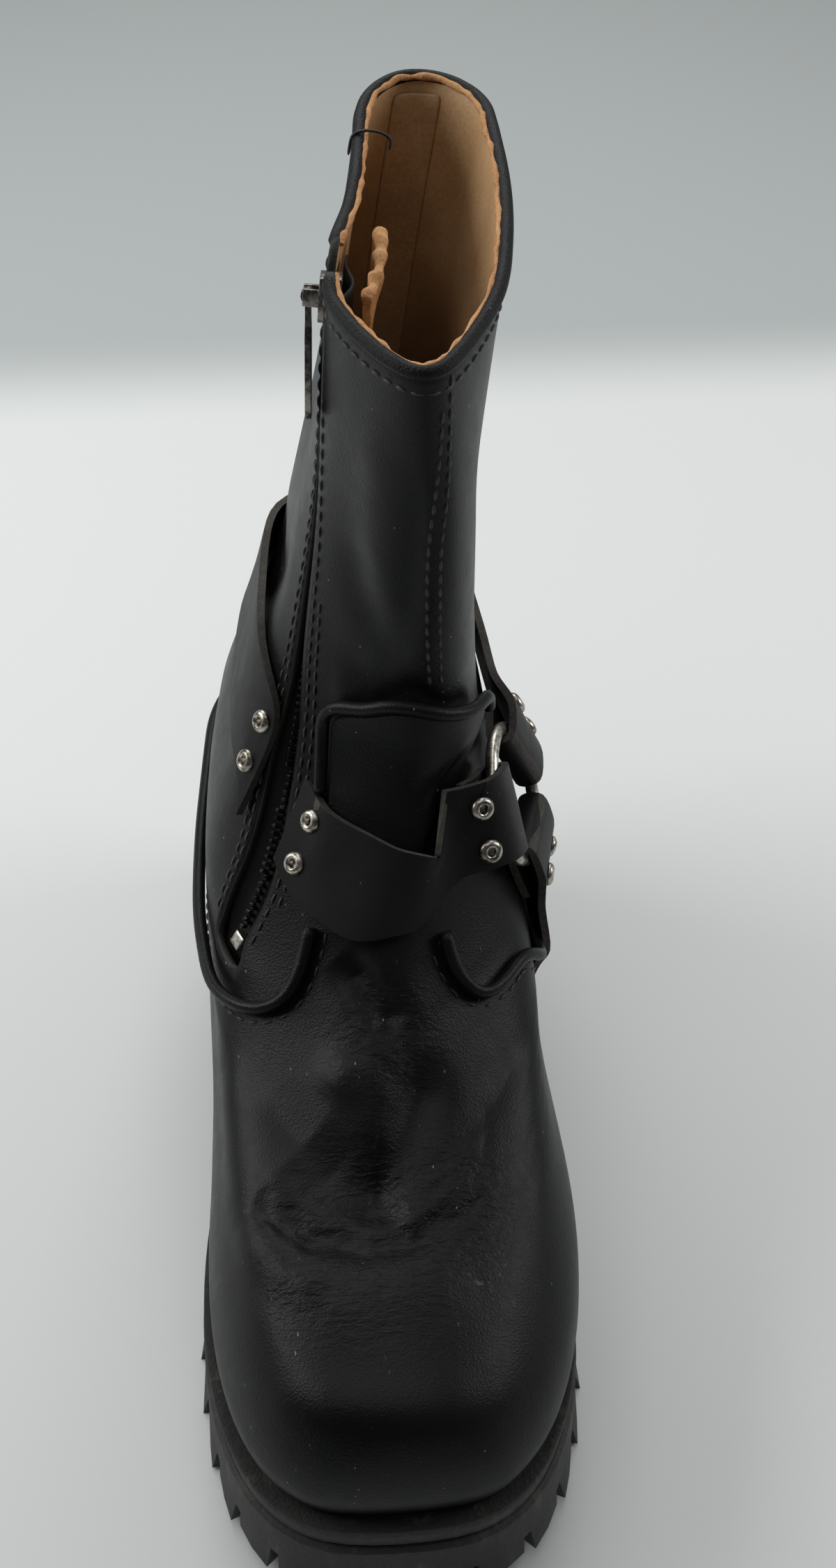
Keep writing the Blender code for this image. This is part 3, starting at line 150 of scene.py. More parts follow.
def clouds(place, scale, detail=3.0, roughness=0.55, distortion=0.0):
    return place.node("ShaderNodeTexNoise", None,
                      {"Vector": place, "Scale": scale, "Detail": detail,
                       "Roughness": roughness, "Distortion": distortion})


def cells(place, scale):
    return place.node("ShaderNodeTexVoronoi", None, {"Vector": place, "Scale": scale})


def drawnOut(place, scale, rotation=(0.0, 0.0, 0.0)):
    # Stretched places, so that a pattern on them runs long one way
    return place.node("ShaderNodeMapping", None,
                      {"Vector": place, "Rotation": rotation, "Scale": scale})


def nearPoint(place, centre, inner, outer):
    # 1 within the inner radius of a point, 0 past the outer one
    away = place.node("ShaderNodeVectorMath", {"operation": "DISTANCE"},
                      {0: place, 1: centre}, out=1)
    return 1.0 - away.over(inner, outer)


leatherLook = {"colour": (0.0034, 0.0034, 0.0036), "pale": (0.0078, 0.0077, 0.0079),
               "dust": (0.2, 0.195, 0.185), "roughness": 0.4, "specular": 0.17,
               "broad": 22.0, "middle": 160.0, "pore": 1500.0, "fine": 2400.0,
               "crease": 240.0, "bump": 0.00012}
flexLook = {"stretch": (0.35, 1.0, 1.0), "scale": 620.0, "lines": 4.2, "wrinkles": 2.2,
            # centre, inner radius, outer radius
            "spots": (((0.000, -0.199, 0.083), 0.016, 0.042),
                      ((0.026, -0.186, 0.083), 0.008, 0.028),
                      ((0.01, -0.146, 0.104), 0.008, 0.024))}
fleckLook = {"turn": (0.5, 0.3, 0.9), "stretch": (1.0, 0.45, 0.8), "scale": 300.0,
             "size": (0.055, 0.095), "patch": 75.0, "patchLimits": (0.54, 0.6),
             "share": 0.85}
scratchLook = {"turn": (0.3, 0.8, 0.6), "stretch": (1.0, 0.1, 1.0), "scale": 900.0,
               "limits": (0.735, 0.765), "patchLimits": (0.53, 0.6), "share": 0.16}
scuffLook = {"scale": 500.0, "limits": (0.6, 0.74), "share": 0.45,
             "spots": (((0.0345, -0.2085, 0.0775), 0.003, 0.0085),
                       ((0.04, -0.212, 0.075), 0.001, 0.005))}


def leatherMaterial(name, look, grain=1.0, dusty=1.0, flexed=True):
    material, tree, shader, place = newMaterial(name)
    broad = clouds(place, look["broad"], 2.0)
    middle = clouds(place, look["middle"], 3.0)
    pores = cells(place, look["pore"])
    fine = clouds(place, look["fine"], 2.0)
    wrinkle = clouds(place, look["crease"], 4.0, 0.62, 0.9)
    if flexed:
        # Fine lines across the flex zones
        masks = [nearPoint(place, *spot) for spot in flexLook["spots"]]
        flex = (masks[0] + masks[1] + masks[2]).clamped()
        lines = clouds(drawnOut(place, flexLook["stretch"]), flexLook["scale"], 3.0, 0.6, 0.5)
        height = (pores * (0.5 * grain) + fine * (0.4 * grain) + wrinkle * 0.35
                  + flex * (lines * flexLook["lines"] + wrinkle * flexLook["wrinkles"]))
    else:
        height = pores * (0.5 * grain) + fine * (0.5 * grain) + wrinkle * 0.4
    # Dust flecks, scratches and the scuff by the toe
    flecked = drawnOut(place, fleckLook["stretch"], fleckLook["turn"])
    specks = 1.0 - cells(flecked, fleckLook["scale"]).over(*fleckLook["size"])
    chosen = clouds(place, fleckLook["patch"], 2.0).over(*fleckLook["patchLimits"])
    scratched = drawnOut(place, scratchLook["stretch"], scratchLook["turn"])
    scratch = (clouds(scratched, scratchLook["scale"], 1.0).over(*scratchLook["limits"])
               * middle.over(*scratchLook["patchLimits"]))
    marks = (specks * chosen * (fleckLook["share"] * dusty)
             + scratch * (scratchLook["share"] * dusty)).clamped()
    if flexed:
        wearAndShadeMask = [nearPoint(place, *spot) for spot in scuffLook["spots"]]
        torn = clouds(place, scuffLook["scale"], 3.0).over(*scuffLook["limits"])
        marks = (marks + (wearAndShadeMask[0] + wearAndShadeMask[1]).clamped() * torn * scuffLook["share"]).clamped()
    base = broad.over(0.35, 0.68).mixed((*look["colour"], 1), (*look["pale"], 1))
    colour = marks.mixed(base, (*look["dust"], 1))
    rough = look["roughness"] + (middle - 0.5) * 0.16 + (broad - 0.5) * 0.16 + marks * 0.3
    shader.inputs["Specular IOR Level"].default_value = look["specular"]
    finishMaterial(tree, shader, place, colour, rough, height, look["bump"])
    return material


def linedMaterial(name, base, dark, roughness, scale, distance=0.0002, stain=None,
                  paintedShade=None):
    # Linings, raw edges, thread and cloth
    material, tree, shader, place = newMaterial(name)
    broad = clouds(place, 40.0, 3.0)
    nap = clouds(place, scale, 3.0, 0.65)
    colour = ((broad * 0.6 + nap * 0.5).over(0.35, 0.8)).mixed((*dark, 1), (*base, 1))
    if stain:
        spot, tone = stain
        colour = (nearPoint(place, *spot) * broad.over(0.35, 0.6)).mixed(colour, (*tone, 1))
    if paintedShade:
        # Painted shade: the lining's colour turns darker down the shaft, towards its foot
        high, low, tone = paintedShade
        level = place.node("ShaderNodeSeparateXYZ", None, {0: place}, out=2)
        wearAndShadeMask = 1.0 - (level + (broad - 0.5) * 0.03).over(low, high)
        colour = wearAndShadeMask.mixed(colour, (*tone, 1))
    finishMaterial(tree, shader, place, colour, roughness, nap, distance)
    return material


def metalMaterial(name, base, dark, roughness):
    material, tree, shader, place = newMaterial(name)
    film = clouds(place, 420.0, 4.0, 0.65)
    pits = 1.0 - cells(place, 900.0).over(0.03, 0.12)
    colour = (film.over(0.35, 0.62)).mixed((*dark, 1), (*base, 1))
    rough = roughness + (film - 0.5) * 0.25 + pits * 0.15
    shader.inputs["Metallic"].default_value = 1.0
    finishMaterial(tree, shader, place, colour, rough, film + pits * 0.5, 0.00006)
    return material


def rubberMaterial(name, base, dust, roughness, dustLimits, distance=0.0003):
    material, tree, shader, place = newMaterial(name)
    broad = clouds(place, 60.0, 4.0)
    fine = clouds(place, 900.0, 3.0)
    scrape = clouds(drawnOut(place, (1.0, 1.0, 0.2)), 240.0, 4.0, 0.7)
    mask = (broad * 0.5 + scrape * 0.5).over(*dustLimits)
    colour = mask.mixed((*base, 1), (*dust, 1))
    rough = roughness + (fine - 0.5) * 0.2
    finishMaterial(tree, shader, place, colour, rough, fine * 0.6 + scrape, distance)
    return material


bootLeather = leatherMaterial("bootLeather", leatherLook)
strapLook = dict(leatherLook, colour=(0.006, 0.0058, 0.0058), pale=(0.012, 0.0116, 0.0115),
                 roughness=0.5, bump=0.00008)
strapLeather = leatherMaterial("strapLeather", strapLook, grain=0.7, dusty=0.8, flexed=False)
tabLeather = leatherMaterial("tabLeather", leatherLook, grain=1.3, dusty=0.7, flexed=False)
cutEdge = linedMaterial("cutEdge", (0.085, 0.075, 0.062), (0.022, 0.019, 0.016), 0.8, 700.0)
rimEdge = linedMaterial("rimEdge", (0.02, 0.018, 0.016), (0.008, 0.008, 0.008), 0.7, 500.0,
                        0.0003)
# The lining's last setting paints shade: darker brown lower down the shaft
liningLeather = linedMaterial("liningLeather", (0.6, 0.38, 0.19), (0.44, 0.26, 0.12), 0.62,
                              850.0, 0.00012,
                              stain=(((0.022, -0.08, 0.27), 0.008, 0.026),
                                     (0.05, 0.022, 0.015)),
                              paintedShade=(0.29, 0.165, (0.13, 0.07, 0.034)))
rawEdge = linedMaterial("rawEdge", (0.66, 0.36, 0.15), (0.4, 0.18, 0.07), 0.85, 1100.0, 0.0004)
threadBlack = linedMaterial("threadBlack", (0.03, 0.028, 0.026), (0.01, 0.009, 0.009), 0.5,
                            2500.0, 0.0001)
tapeLeather = linedMaterial("tapeLeather", (0.55, 0.35, 0.18), (0.36, 0.21, 0.1), 0.6, 850.0,
                            0.00012)
rimLook = dict(leatherLook, roughness=0.52, bump=0.0002)
rimEdgeLeather = leatherMaterial("rimEdgeLeather", rimLook, grain=1.4, dusty=0.6, flexed=False)
zipCloth = linedMaterial("zipCloth", (0.02, 0.018, 0.017), (0.008, 0.008, 0.008), 0.85, 1800.0)
soleRubber = rubberMaterial("soleRubber", (0.02, 0.02, 0.019), (0.075, 0.07, 0.06), 0.68,
                            (0.5, 0.74))
midRubber = rubberMaterial("midRubber", (0.018, 0.018, 0.017), (0.06, 0.056, 0.05), 0.62,
                           (0.48, 0.74))
weltLeather = rubberMaterial("weltLeather", (0.014, 0.013, 0.012), (0.105, 0.092, 0.075), 0.8,
                             (0.52, 0.76), 0.0006)
insoleBoard = linedMaterial("insoleBoard", (0.35, 0.24, 0.15), (0.22, 0.15, 0.09), 0.8, 500.0)
nickel = metalMaterial("nickel", (0.66, 0.63, 0.57), (0.3, 0.27, 0.22), 0.3)
rivetMetal = metalMaterial("rivetMetal", (0.58, 0.55, 0.48), (0.14, 0.12, 0.09), 0.3)
darkNickel = metalMaterial("darkNickel", (0.34, 0.32, 0.29), (0.1, 0.09, 0.08), 0.34)
toothMetal = metalMaterial("toothMetal", (0.1, 0.095, 0.09), (0.03, 0.028, 0.026), 0.42)
print("materials made")


# Helpers for pieces

meshSettings = {"weld": 0.00002, "quadAngle": 0.6, "quadShape": 0.9, "longestStep": 0.004,
                "cornerAngle": 0.9}


def selectNone():
    bpy.ops.object.select_all(action="DESELECT")
    bpy.context.view_layer.objects.active = None


def selectOnly(item):
    selectNone()
    item.select_set(True)
    bpy.context.view_layer.objects.active = item


def applyModifiers(item):
    selectOnly(item)
    for modifier in list(item.modifiers):
        bpy.ops.object.modifier_apply(modifier=modifier.name)


def takeOn(item, slot, *replaced, body=bodyName):
    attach(item, body)
    if replaced:
        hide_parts(*replaced)
    return item


def addPiece(name, shape, material):
    # The edited shape as an object of its own
    mesh = bpy.data.meshes.new(name)
    shape.to_mesh(mesh)
    shape.free()
    mesh.materials.append(material)
    item = bpy.data.objects.new(name, mesh)
    scene.collection.objects.link(item)
    return item


def stampMesh(shape, mesh, turn):
    # Adds a small mesh to the shape, turned into its place
    before = len(shape.verts)
    shape.from_mesh(mesh)
    shape.verts.ensure_lookup_table()
    for vertex in shape.verts[before:]:
        vertex.co = turn @ vertex.co


def copyOfNode(node, name, *materials):
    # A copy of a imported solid, its loose triangles joined into quads
    item = bpy.data.objects.new(name, nodes[node].data.copy())
    scene.collection.objects.link(item)
    shape = bmesh.new()
    shape.from_mesh(item.data)
    bmesh.ops.remove_doubles(shape, verts=shape.verts, dist=meshSettings["weld"])
    bmesh.ops.join_triangles(shape, faces=shape.faces,
                             angle_face_threshold=meshSettings["quadAngle"],
                             angle_shape_threshold=meshSettings["quadShape"])
    bmesh.ops.recalc_face_normals(shape, faces=shape.faces)
    shape.to_mesh(item.data)
    shape.free()
    item.data.materials.clear()
    for material in materials:
        item.data.materials.append(material)
    return item


def sharpen(item, angle):
    # Marks the edges that turn more than the angle
    shape = bmesh.new()
    shape.from_mesh(item.data)
    creases = shape.edges.layers.float.new("crease_edge")
    for edge in shape.edges:
        if len(edge.link_faces) == 2 and edge.calc_face_angle(0.0) > angle:
            edge[creases] = 1.0
    shape.to_mesh(item.data)
    shape.free()


def addSmooth(item, levels):
    smooth = item.modifiers.new("smooth", "SUBSURF")
    smooth.levels = levels
    smooth.render_levels = levels
    return smooth


def holdCorners(item, passes=3):
    # Moves the corners so that the smooth surface passes where they were
    aims = [vertex.co.copy() for vertex in item.data.vertices]
    smooth = addSmooth(item, 1)
    smooth.use_limit_surface = True
    for _ in range(passes):
        graph = bpy.context.evaluated_depsgraph_get()
        made = item.evaluated_get(graph).data
        steps = [aim - made.vertices[k].co for k, aim in enumerate(aims)]
        for vertex, step in zip(item.data.vertices, steps):
            if step.length < meshSettings["longestStep"]:
                vertex.co += step
        item.data.update()
        graph.update()
    item.modifiers.remove(smooth)


def rounded(item, bevelWidth, levels, angle=meshSettings["cornerAngle"], segments=2):
    # Small round on the sharp edges, then a smooth surface
    bevel = item.modifiers.new("bevel", "BEVEL")
    bevel.width = bevelWidth
    bevel.segments = segments
    bevel.limit_method = "ANGLE"
    bevel.angle_limit = angle
    if levels:
        addSmooth(item, levels)
    applyModifiers(item)
    item.data.shade_smooth()


# Upper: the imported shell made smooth, then creased as the leather is

upperSettings = {"levels": 2, "rimAngle": 0.75, "rimCrease": 0.85}
creaseSettings = {"cell": 0.012, "fineWidth": 0.002, "reach": 2.6, "above": 0.004}
flexZone = {"rows": (-0.228, -0.125), "foot": 0.07, "middle": 0.004, "half": 0.046}
softFolds = (
    # points on the skin, half width, depth (positive goes in)
    (((-0.001, -0.124, 0.117), (0.007, -0.137, 0.111), (0.014, -0.146, 0.105)), 0.0055, 0.0042),
    (((0.017, -0.148, 0.101), (0.018, -0.16, 0.095), (0.014, -0.172, 0.091),
      (0.006, -0.184, 0.087), (-0.001, -0.193, 0.084)), 0.008, 0.004),
    (((-0.03, -0.18, 0.079), (-0.014, -0.196, 0.083), (0.001, -0.202, 0.083),
      (0.016, -0.199, 0.084), (0.03, -0.19, 0.083)), 0.004, 0.002),
    (((-0.016, -0.17, 0.088), (0.000, -0.19, 0.086), (0.012, -0.186, 0.087)), 0.014, 0.0036),
    (((0.000, -0.15, 0.103), (-0.006, -0.16, 0.096)), 0.007, -0.0022),
    (((-0.034, -0.186, 0.074), (-0.021, -0.204, 0.078), (-0.009, -0.212, 0.08)), 0.006, -0.0014),
    (((-0.02, -0.214, 0.077), (0.008, -0.214, 0.08), (0.03, -0.208, 0.078)), 0.011, -0.001),
    (((0.013, -0.085, 0.27), (0.014, -0.083, 0.236), (0.012, -0.083, 0.208)), 0.008, -0.0014),
    (((0.024, -0.092, 0.262), (0.022, -0.09, 0.232), (0.02, -0.088, 0.2)), 0.005, 0.0012),
    (((0.004, -0.077, 0.232), (0.01, -0.083, 0.205), (0.02, -0.089, 0.188)), 0.007, 0.0016),
    (((0.002, -0.074, 0.19), (0.014, -0.086, 0.184), (0.03, -0.089, 0.186)), 0.005, 0.0016),
    (((0.000, -0.073, 0.178), (0.014, -0.086, 0.174)), 0.005, -0.0012),
    (((-0.012, -0.05, 0.2), (-0.016, -0.02, 0.18), (-0.01, 0.02, 0.17)), 0.009, 0.0022),
    (((0.046, -0.06, 0.2), (0.046, -0.02, 0.178), (0.038, 0.02, 0.168)), 0.01, 0.003),
    (((0.05, -0.05, 0.172), (0.048, -0.01, 0.16)), 0.008, 0.0022),
    (((0.04, -0.07, 0.25), (0.044, -0.03, 0.225), (0.04, 0.01, 0.215)), 0.012, 0.0016),
    (((-0.027, -0.232, 0.065), (-0.009, -0.243, 0.072), (0.012, -0.246, 0.071),
      (0.031, -0.242, 0.068), (0.043, -0.229, 0.065)), 0.008, -0.0012),
)
fineFolds = {"seed": 7, "count": 130, "spots": (
    # centre, spread along X, spread along Y, main direction, number share
    ((0.000, -0.2, 0.083), 0.034, 0.007, 0.0, 0.55),
    ((0.022, -0.188, 0.084), 0.016, 0.01, 0.5, 0.2),
    ((0.01, -0.148, 0.103), 0.01, 0.01, -0.2, 0.25)),
    "length": 0.012, "lengths": (0.35, 0.9), "width": 0.0011, "widths": (0.7, 1.3),
    "depth": 0.0005, "depths": (0.3, 1.0), "bow": 0.016, "fan": 0.9, "scatter": 0.18}


def strokeTable():
    strokes = [(tuple(Vector(p) for p in points), width, depth)
               for points, width, depth in softFolds]
    look = fineFolds
    draw = random.Random(look["seed"])
    for centre, spreadX, spreadY, lean, share in look["spots"]:
        for _ in range(int(look["count"] * share)):
            across = draw.uniform(-1, 1)
            middle = Vector(centre) + Vector((across * spreadX, draw.gauss(0, spreadY), 0.0))
            middle.y += look["bow"] * across * across
            angle = lean + across * look["fan"] + draw.gauss(0, look["scatter"])
            half = look["length"] * draw.uniform(*look["lengths"]) / 2
            step = Vector((math.cos(angle), math.sin(angle), 0.0)) * half
            depth = look["depth"] * draw.uniform(*look["depths"])
            strokes.append(((middle - step, middle, middle + step),
                            look["width"] * draw.uniform(*look["widths"]), depth))
    return strokes


def alongStroke(point, points):
    # Distance from a polyline, and the fading towards its ends
    best, fade = 1e9, 0.0
    count = len(points) - 1
    for i in range(count):
        a, b = points[i], points[i + 1]
        span = b - a
        f = max(0.0, min(1.0, (point - a).dot(span) / span.length_squared))
        away = (point - (a + span * f)).length
        if away < best:
            best = away
            whole = (i + f) / count
            fade = min(1.0, 4.0 * whole + 0.15, 4.0 * (1.0 - whole) + 0.15)
    return best, fade


def creaseSkin(item, outerVertices, innerVertices):
    # The outer sheet takes every fold, the inner one only the broad ones
    shape = item.data
    outside = set(outerVertices)
    tree = BVHTree.FromObject(item, bpy.context.evaluated_depsgraph_get())
    cell = creaseSettings["cell"]
    grid = {}
    for index in outerVertices + innerVertices:
        key = tuple(int(c // cell) for c in shape.vertices[index].co)
        grid.setdefault(key, []).append(index)
    moves = {}
    above = Vector((0, 0, creaseSettings["above"]))
    for points, width, depth in strokeTable():
        fine = width < creaseSettings["fineWidth"]
        if fine:
            points = [tree.find_nearest(p + above)[0] for p in points]
        reach = width * creaseSettings["reach"]
        ranges = [range(int((min(p[k] for p in points) - reach) // cell),
                        int((max(p[k] for p in points) + reach) // cell) + 1)
                  for k in range(3)]
        for key in ((x, y, z) for x in ranges[0] for y in ranges[1] for z in ranges[2]):
            for index in grid.get(key, ()):
                if fine and index not in outside:
                    continue
                away, fade = alongStroke(shape.vertices[index].co, points)
                if away < reach:
                    moves[index] = moves.get(index, 0.0) \
                        + depth * fade * math.exp(-(away / width) ** 2)
    normals = {index: shape.vertices[index].normal.copy() for index in moves}
    for index, depth in moves.items():
        sign = -1 if index in outside else 1
        shape.vertices[index].co += normals[index] * (sign * depth)
    shape.update()


def refineFlex(item):
    # One more cut where the fine wrinkles lie
    low, high = flexZone["rows"]
    shape = bmesh.new()
    shape.from_mesh(item.data)
    edges = [e for e in shape.edges
             if low < e.verts[0].co.y < high and e.verts[0].co.z > flexZone["foot"]
             and abs(e.verts[0].co.x - flexZone["middle"]) < flexZone["half"]
             and all(f.material_index == 0 for f in e.link_faces)]
    bmesh.ops.subdivide_edges(shape, edges=edges, cuts=1, use_grid_fill=True, smooth=0.0)
    shape.to_mesh(item.data)
    shape.free()


def shellSheets(shape):
    # The shell's two sheets part at its sharp rims; the outer, wider one comes first
    groups, seen = [], set()
    for start in shape.faces:
        if start in seen:
            continue
        seen.add(start)
        stack, members = [start], []
        while stack:
            face = stack.pop()
            members.append(face)
            for edge in face.edges:
                if edge.calc_face_angle(0.0) > upperSettings["rimAngle"]:
                    continue
                for other in edge.link_faces:
                    if other not in seen:
                        seen.add(other)
                        stack.append(other)
        groups.append(members)
    groups.sort(key=lambda members: -sum(f.calc_area() for f in members))

    def width(members):
        xs = [v.co.x for f in members for v in f.verts]
        return max(xs) - min(xs)

    return sorted(groups[:2], key=width, reverse=True)


def buildUpper():
    item = copyOfNode("upper", "upperSkin", bootLeather, liningLeather, rimEdge)
    shape = bmesh.new()
    shape.from_mesh(item.data)
    outer, inner = shellSheets(shape)
    for face in shape.faces:
        face.material_index = 2
        face.smooth = True
    for face in outer:
        face.material_index = 0
    for face in inner:
        face.material_index = 1
    creases = shape.edges.layers.float.new("crease_edge")
    for edge in shape.edges:
        if len({face.material_index for face in edge.link_faces}) > 1:
            edge[creases] = upperSettings["rimCrease"]
    shape.to_mesh(item.data)
    shape.free()
    holdCorners(item)
    addSmooth(item, upperSettings["levels"])
    applyModifiers(item)
    refineFlex(item)
    sheets = {0: set(), 1: set(), 2: set()}
    for face in item.data.polygons:
        sheets[face.material_index].update(face.vertices)
    creaseSkin(item, sorted(sheets[0]), sorted(sheets[1] - sheets[0]))
    return takeOn(item, "black_leather", "upper")


upperSkin = buildUpper()
print("upper made")


# Places on the skin

skinTree = BVHTree.FromObject(upperSkin, bpy.context.evaluated_depsgraph_get())
closeBy = 0.0015


def onSkin(point, lift=0.0):
    place, normal, index, distance = skinTree.find_nearest(Vector(point))
    if normal.dot(Vector(point) - place) < 0 and distance > closeBy:
        normal = -normal
    return place + normal * lift, normal


def smoothLine(points, step, cuts=12):
    # A smooth path through the points, at even steps
    points = [Vector(p) for p in points]
    fine = []
    for i in range(len(points) - 1):
        a = points[max(i - 1, 0)]
        b, c = points[i], points[i + 1]
        d = points[min(i + 2, len(points) - 1)]
        for k in range(cuts):
            f = k / cuts
            fine.append(0.5 * ((2 * b) + (c - a) * f + (2 * a - 5 * b + 4 * c - d) * f * f
                               + (3 * b - a - 3 * c + d) * f ** 3))
    fine.append(points[-1])
    total = sum((b - a).length for a, b in zip(fine, fine[1:]))
    count = max(2, round(total / step))
    path, travelled, target, index = [fine[0]], 0.0, total / count, 0
    while len(path) < count and index < len(fine) - 1:
        span = (fine[index + 1] - fine[index]).length
        if travelled + span >= target:
            f = (target - travelled) / max(span, 1e-9)
            path.append(fine[index].lerp(fine[index + 1], f))
            target += total / count
        else:
            travelled += span
            index += 1
    path.append(fine[-1])
    return path


def stepAt(line, i):
    # From the place before to the place after
    return line[min(i + 1, len(line) - 1)] - line[max(i - 1, 0)]


def cordPiece(name, places, radii, radius, rounds, material):
    # A curve with a round section, its radius scaled at each place, then made a mesh
    data = bpy.data.curves.new(name, "CURVE")
    data.dimensions = "3D"
    data.bevel_depth = radius
    data.bevel_resolution = rounds
    data.use_fill_caps = True
    spline = data.splines.new("POLY")
    spline.points.add(len(places) - 1)
    for point, place, scale in zip(spline.points, places, radii):
        point.co = (*place, 1.0)
        point.radius = scale
    item = bpy.data.objects.new(name, data)
    scene.collection.objects.link(item)
    selectOnly(item)
    bpy.ops.object.convert(target="MESH")
    item = bpy.context.view_layer.objects.active
    item.data.materials.append(material)
    item.data.shade_smooth()
    return item


def tubeAlong(name, places, radius, material, end=0.55):
    # Even all along, with smaller ends
    radii = [end] + [1.0] * (len(places) - 2) + [end]
    return cordPiece(name, places, radii, radius, 3, material)


def stitchShape(length, radius, sink=0.35):
    # One stitch: a bead drawn out, its ends turned down into the leather
    selectNone()
    bpy.ops.mesh.primitive_uv_sphere_add(segments=6, ring_count=5, radius=1.0)
    item = bpy.context.view_layer.objects.active
    for vertex in item.data.vertices:
        vertex.co = Vector((vertex.co.z * length / 2, vertex.co.y * radius,
                            vertex.co.x * radius - sink * radius * vertex.co.z ** 2))
    mesh = item.data
    bpy.data.objects.remove(item)
    return mesh


def sewn(name, rows, length, radius):
    # Stitches along rows of places with normals, as one piece
    stitch = stitchShape(length, radius)
    shape = bmesh.new()
    for row in rows:
        for (place, normal), (ahead, nextNormal) in zip(row, row[1:]):
            along = (ahead - place).normalized()
            side = (normal + nextNormal).normalized().cross(along).normalized()
            turn = Matrix((along, side, along.cross(side))).transposed().to_4x4()
            turn.translation = place.lerp(ahead, 0.5)
            stampMesh(shape, stitch, turn)
    item = addPiece(name, shape, threadBlack)
    item.data.shade_smooth()
    return takeOn(item, "cloth")


# Sole, welt and insole

soleSettings = {"round": 0.0006, "blockAngle": 0.6, "layerAngle": 0.9}


def buildSole():
    block, layer = soleSettings["blockAngle"], soleSettings["layerAngle"]
    for node, material, slot, angle, levels in (
            ("outsole", soleRubber, "black_rubber", block, 0),
            ("heel", soleRubber, "black_rubber", block, 0),
            ("midsole", midRubber, "black_rubber", layer, 1),
            ("welt", weltLeather, "welt_leather", layer, 1)):
        item = copyOfNode(node, node + "Skin", material)
        rounded(item, soleSettings["round"], levels, angle)
        takeOn(item, slot, node)
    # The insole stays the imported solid
    board = nodes["insole"].data.materials
    board.clear()
    board.append(insoleBoard)


buildSole()
print("sole made")


# Straps, ring and rivets

strapSettings = {"thickness": 0.0024, "spread": 0.0005, "narrow": 1.3, "round": 0.0005}
ringSettings = {"round": 0.0001, "angle": 3.0, "levels": 2}


def markCutEdges(item):
    # The narrow faces between a strap's two sides show its raw edge
    thickness = strapSettings["thickness"]
    shape = bmesh.new()
    shape.from_mesh(item.data)
    for face in shape.faces:
        lengths = sorted(edge.calc_length() for edge in face.edges)
        thin = any(abs(length - thickness) < strapSettings["spread"] for length in lengths)
        if thin and face.calc_area() < strapSettings["narrow"] * thickness * lengths[-1]:
            face.material_index = 1
    shape.to_mesh(item.data)
    shape.free()


rivetLook = {"sides": 24, "head": 0.0012, "passes": 40,
             # radius, height of each ring, from the hole out
             "profile": ((0.00118, -0.0016), (0.00122, 0.0005), (0.0015, 0.00115),
                         (0.00215, 0.00135), (0.00285, 0.00105), (0.00345, 0.00045),
                         (0.00365, -0.0003), (0.0035, -0.0008))}


def rivetPlace(node):
    # The head's flat faces outweigh its sides, so the axis is theirs
    data = nodes[node].data
    points = [v.co.copy() for v in data.vertices]
    middle = (Vector([min(p[k] for p in points) for k in range(3)])
              + Vector([max(p[k] for p in points) for k in range(3)])) / 2
    place, normal, index, distance = skinTree.find_nearest(middle)
    outward = normal if normal.dot(middle - place) > 0 else -normal
    axis = outward.copy()
    for _ in range(rivetLook["passes"]):
        turned = Vector()
        for face in data.polygons:
            turned += face.normal * (face.area * face.normal.dot(axis))
        axis = turned.normalized()
    if axis.dot(outward) < 0:
        axis.negate()
    high = max((p - middle).dot(axis) for p in points)
    head = [p for p in points if (p - middle).dot(axis) > high - rivetLook["head"]]
    centre = sum(head, Vector()) / len(head)
    return centre + axis * (high - (centre - middle).dot(axis)), axis


def buildRivet(name, node):
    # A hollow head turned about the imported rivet's axis
    centre, axis = rivetPlace(node)
    shape = bmesh.new()
    count = rivetLook["sides"]
    side = axis.orthogonal().normalized()
    other = axis.cross(side)
    top = max(height for radius, height in rivetLook["profile"])
    rings = []
    for radius, height in rivetLook["profile"]:
        turns = [2 * math.pi * k / count for k in range(count)]
        rings.append([shape.verts.new(centre + axis * (height - top)
                                      + (side * math.cos(a) + other * math.sin(a)) * radius)
                      for a in turns])
    for first, second in zip(rings, rings[1:]):
        for k in range(count):
            after = (k + 1) % count
            shape.faces.new((first[k], first[after], second[after], second[k]))
    shape.faces.new(rings[0])
    shape.faces.new(rings[-1])
    bmesh.ops.recalc_face_normals(shape, faces=shape.faces)
    item = addPiece(name, shape, rivetMetal)
    item.data.shade_smooth()
    takeOn(item, "steel", node)


def buildStraps():
    for node in ("strap_front", "strap_rear", "strap_lower"):
        item = copyOfNode(node, node.replace("strap_", "strapSkin"), strapLeather, cutEdge)
        markCutEdges(item)
        rounded(item, strapSettings["round"], 1)
        takeOn(item, "strap_leather", node)
    item = copyOfNode("ring", "ringSkin", nickel)
    rounded(item, ringSettings["round"], ringSettings["levels"], ringSettings["angle"], 1)
    takeOn(item, "steel", "ring")
    for node in sorted(name for name in nodes if name.startswith("rivet_")):
        buildRivet(node.replace("rivet", "rivetSkin"), node)


buildStraps()
print("straps made")


# Tongue tab and piping

tabSettings = {"round": 0.0004, "levels": 2, "rollAngle": 1.2}


def buildTab():
    item = copyOfNode("tongue_tab", "tabSkin", tabLeather)
    rounded(item, tabSettings["round"], tabSettings["levels"])
    takeOn(item, "black_leather", "tongue_tab")
    for node, name in (("piping_tab", "tabRoll"), ("piping_vamp", "vampRoll")):
        roll = copyOfNode(node, name, bootLeather)
        sharpen(roll, tabSettings["rollAngle"])
        holdCorners(roll)
        addSmooth(roll, tabSettings["levels"])
        applyModifiers(roll)
        roll.data.shade_smooth()
        takeOn(roll, "black_leather", node)


buildTab()
print("tab made")


# Zip

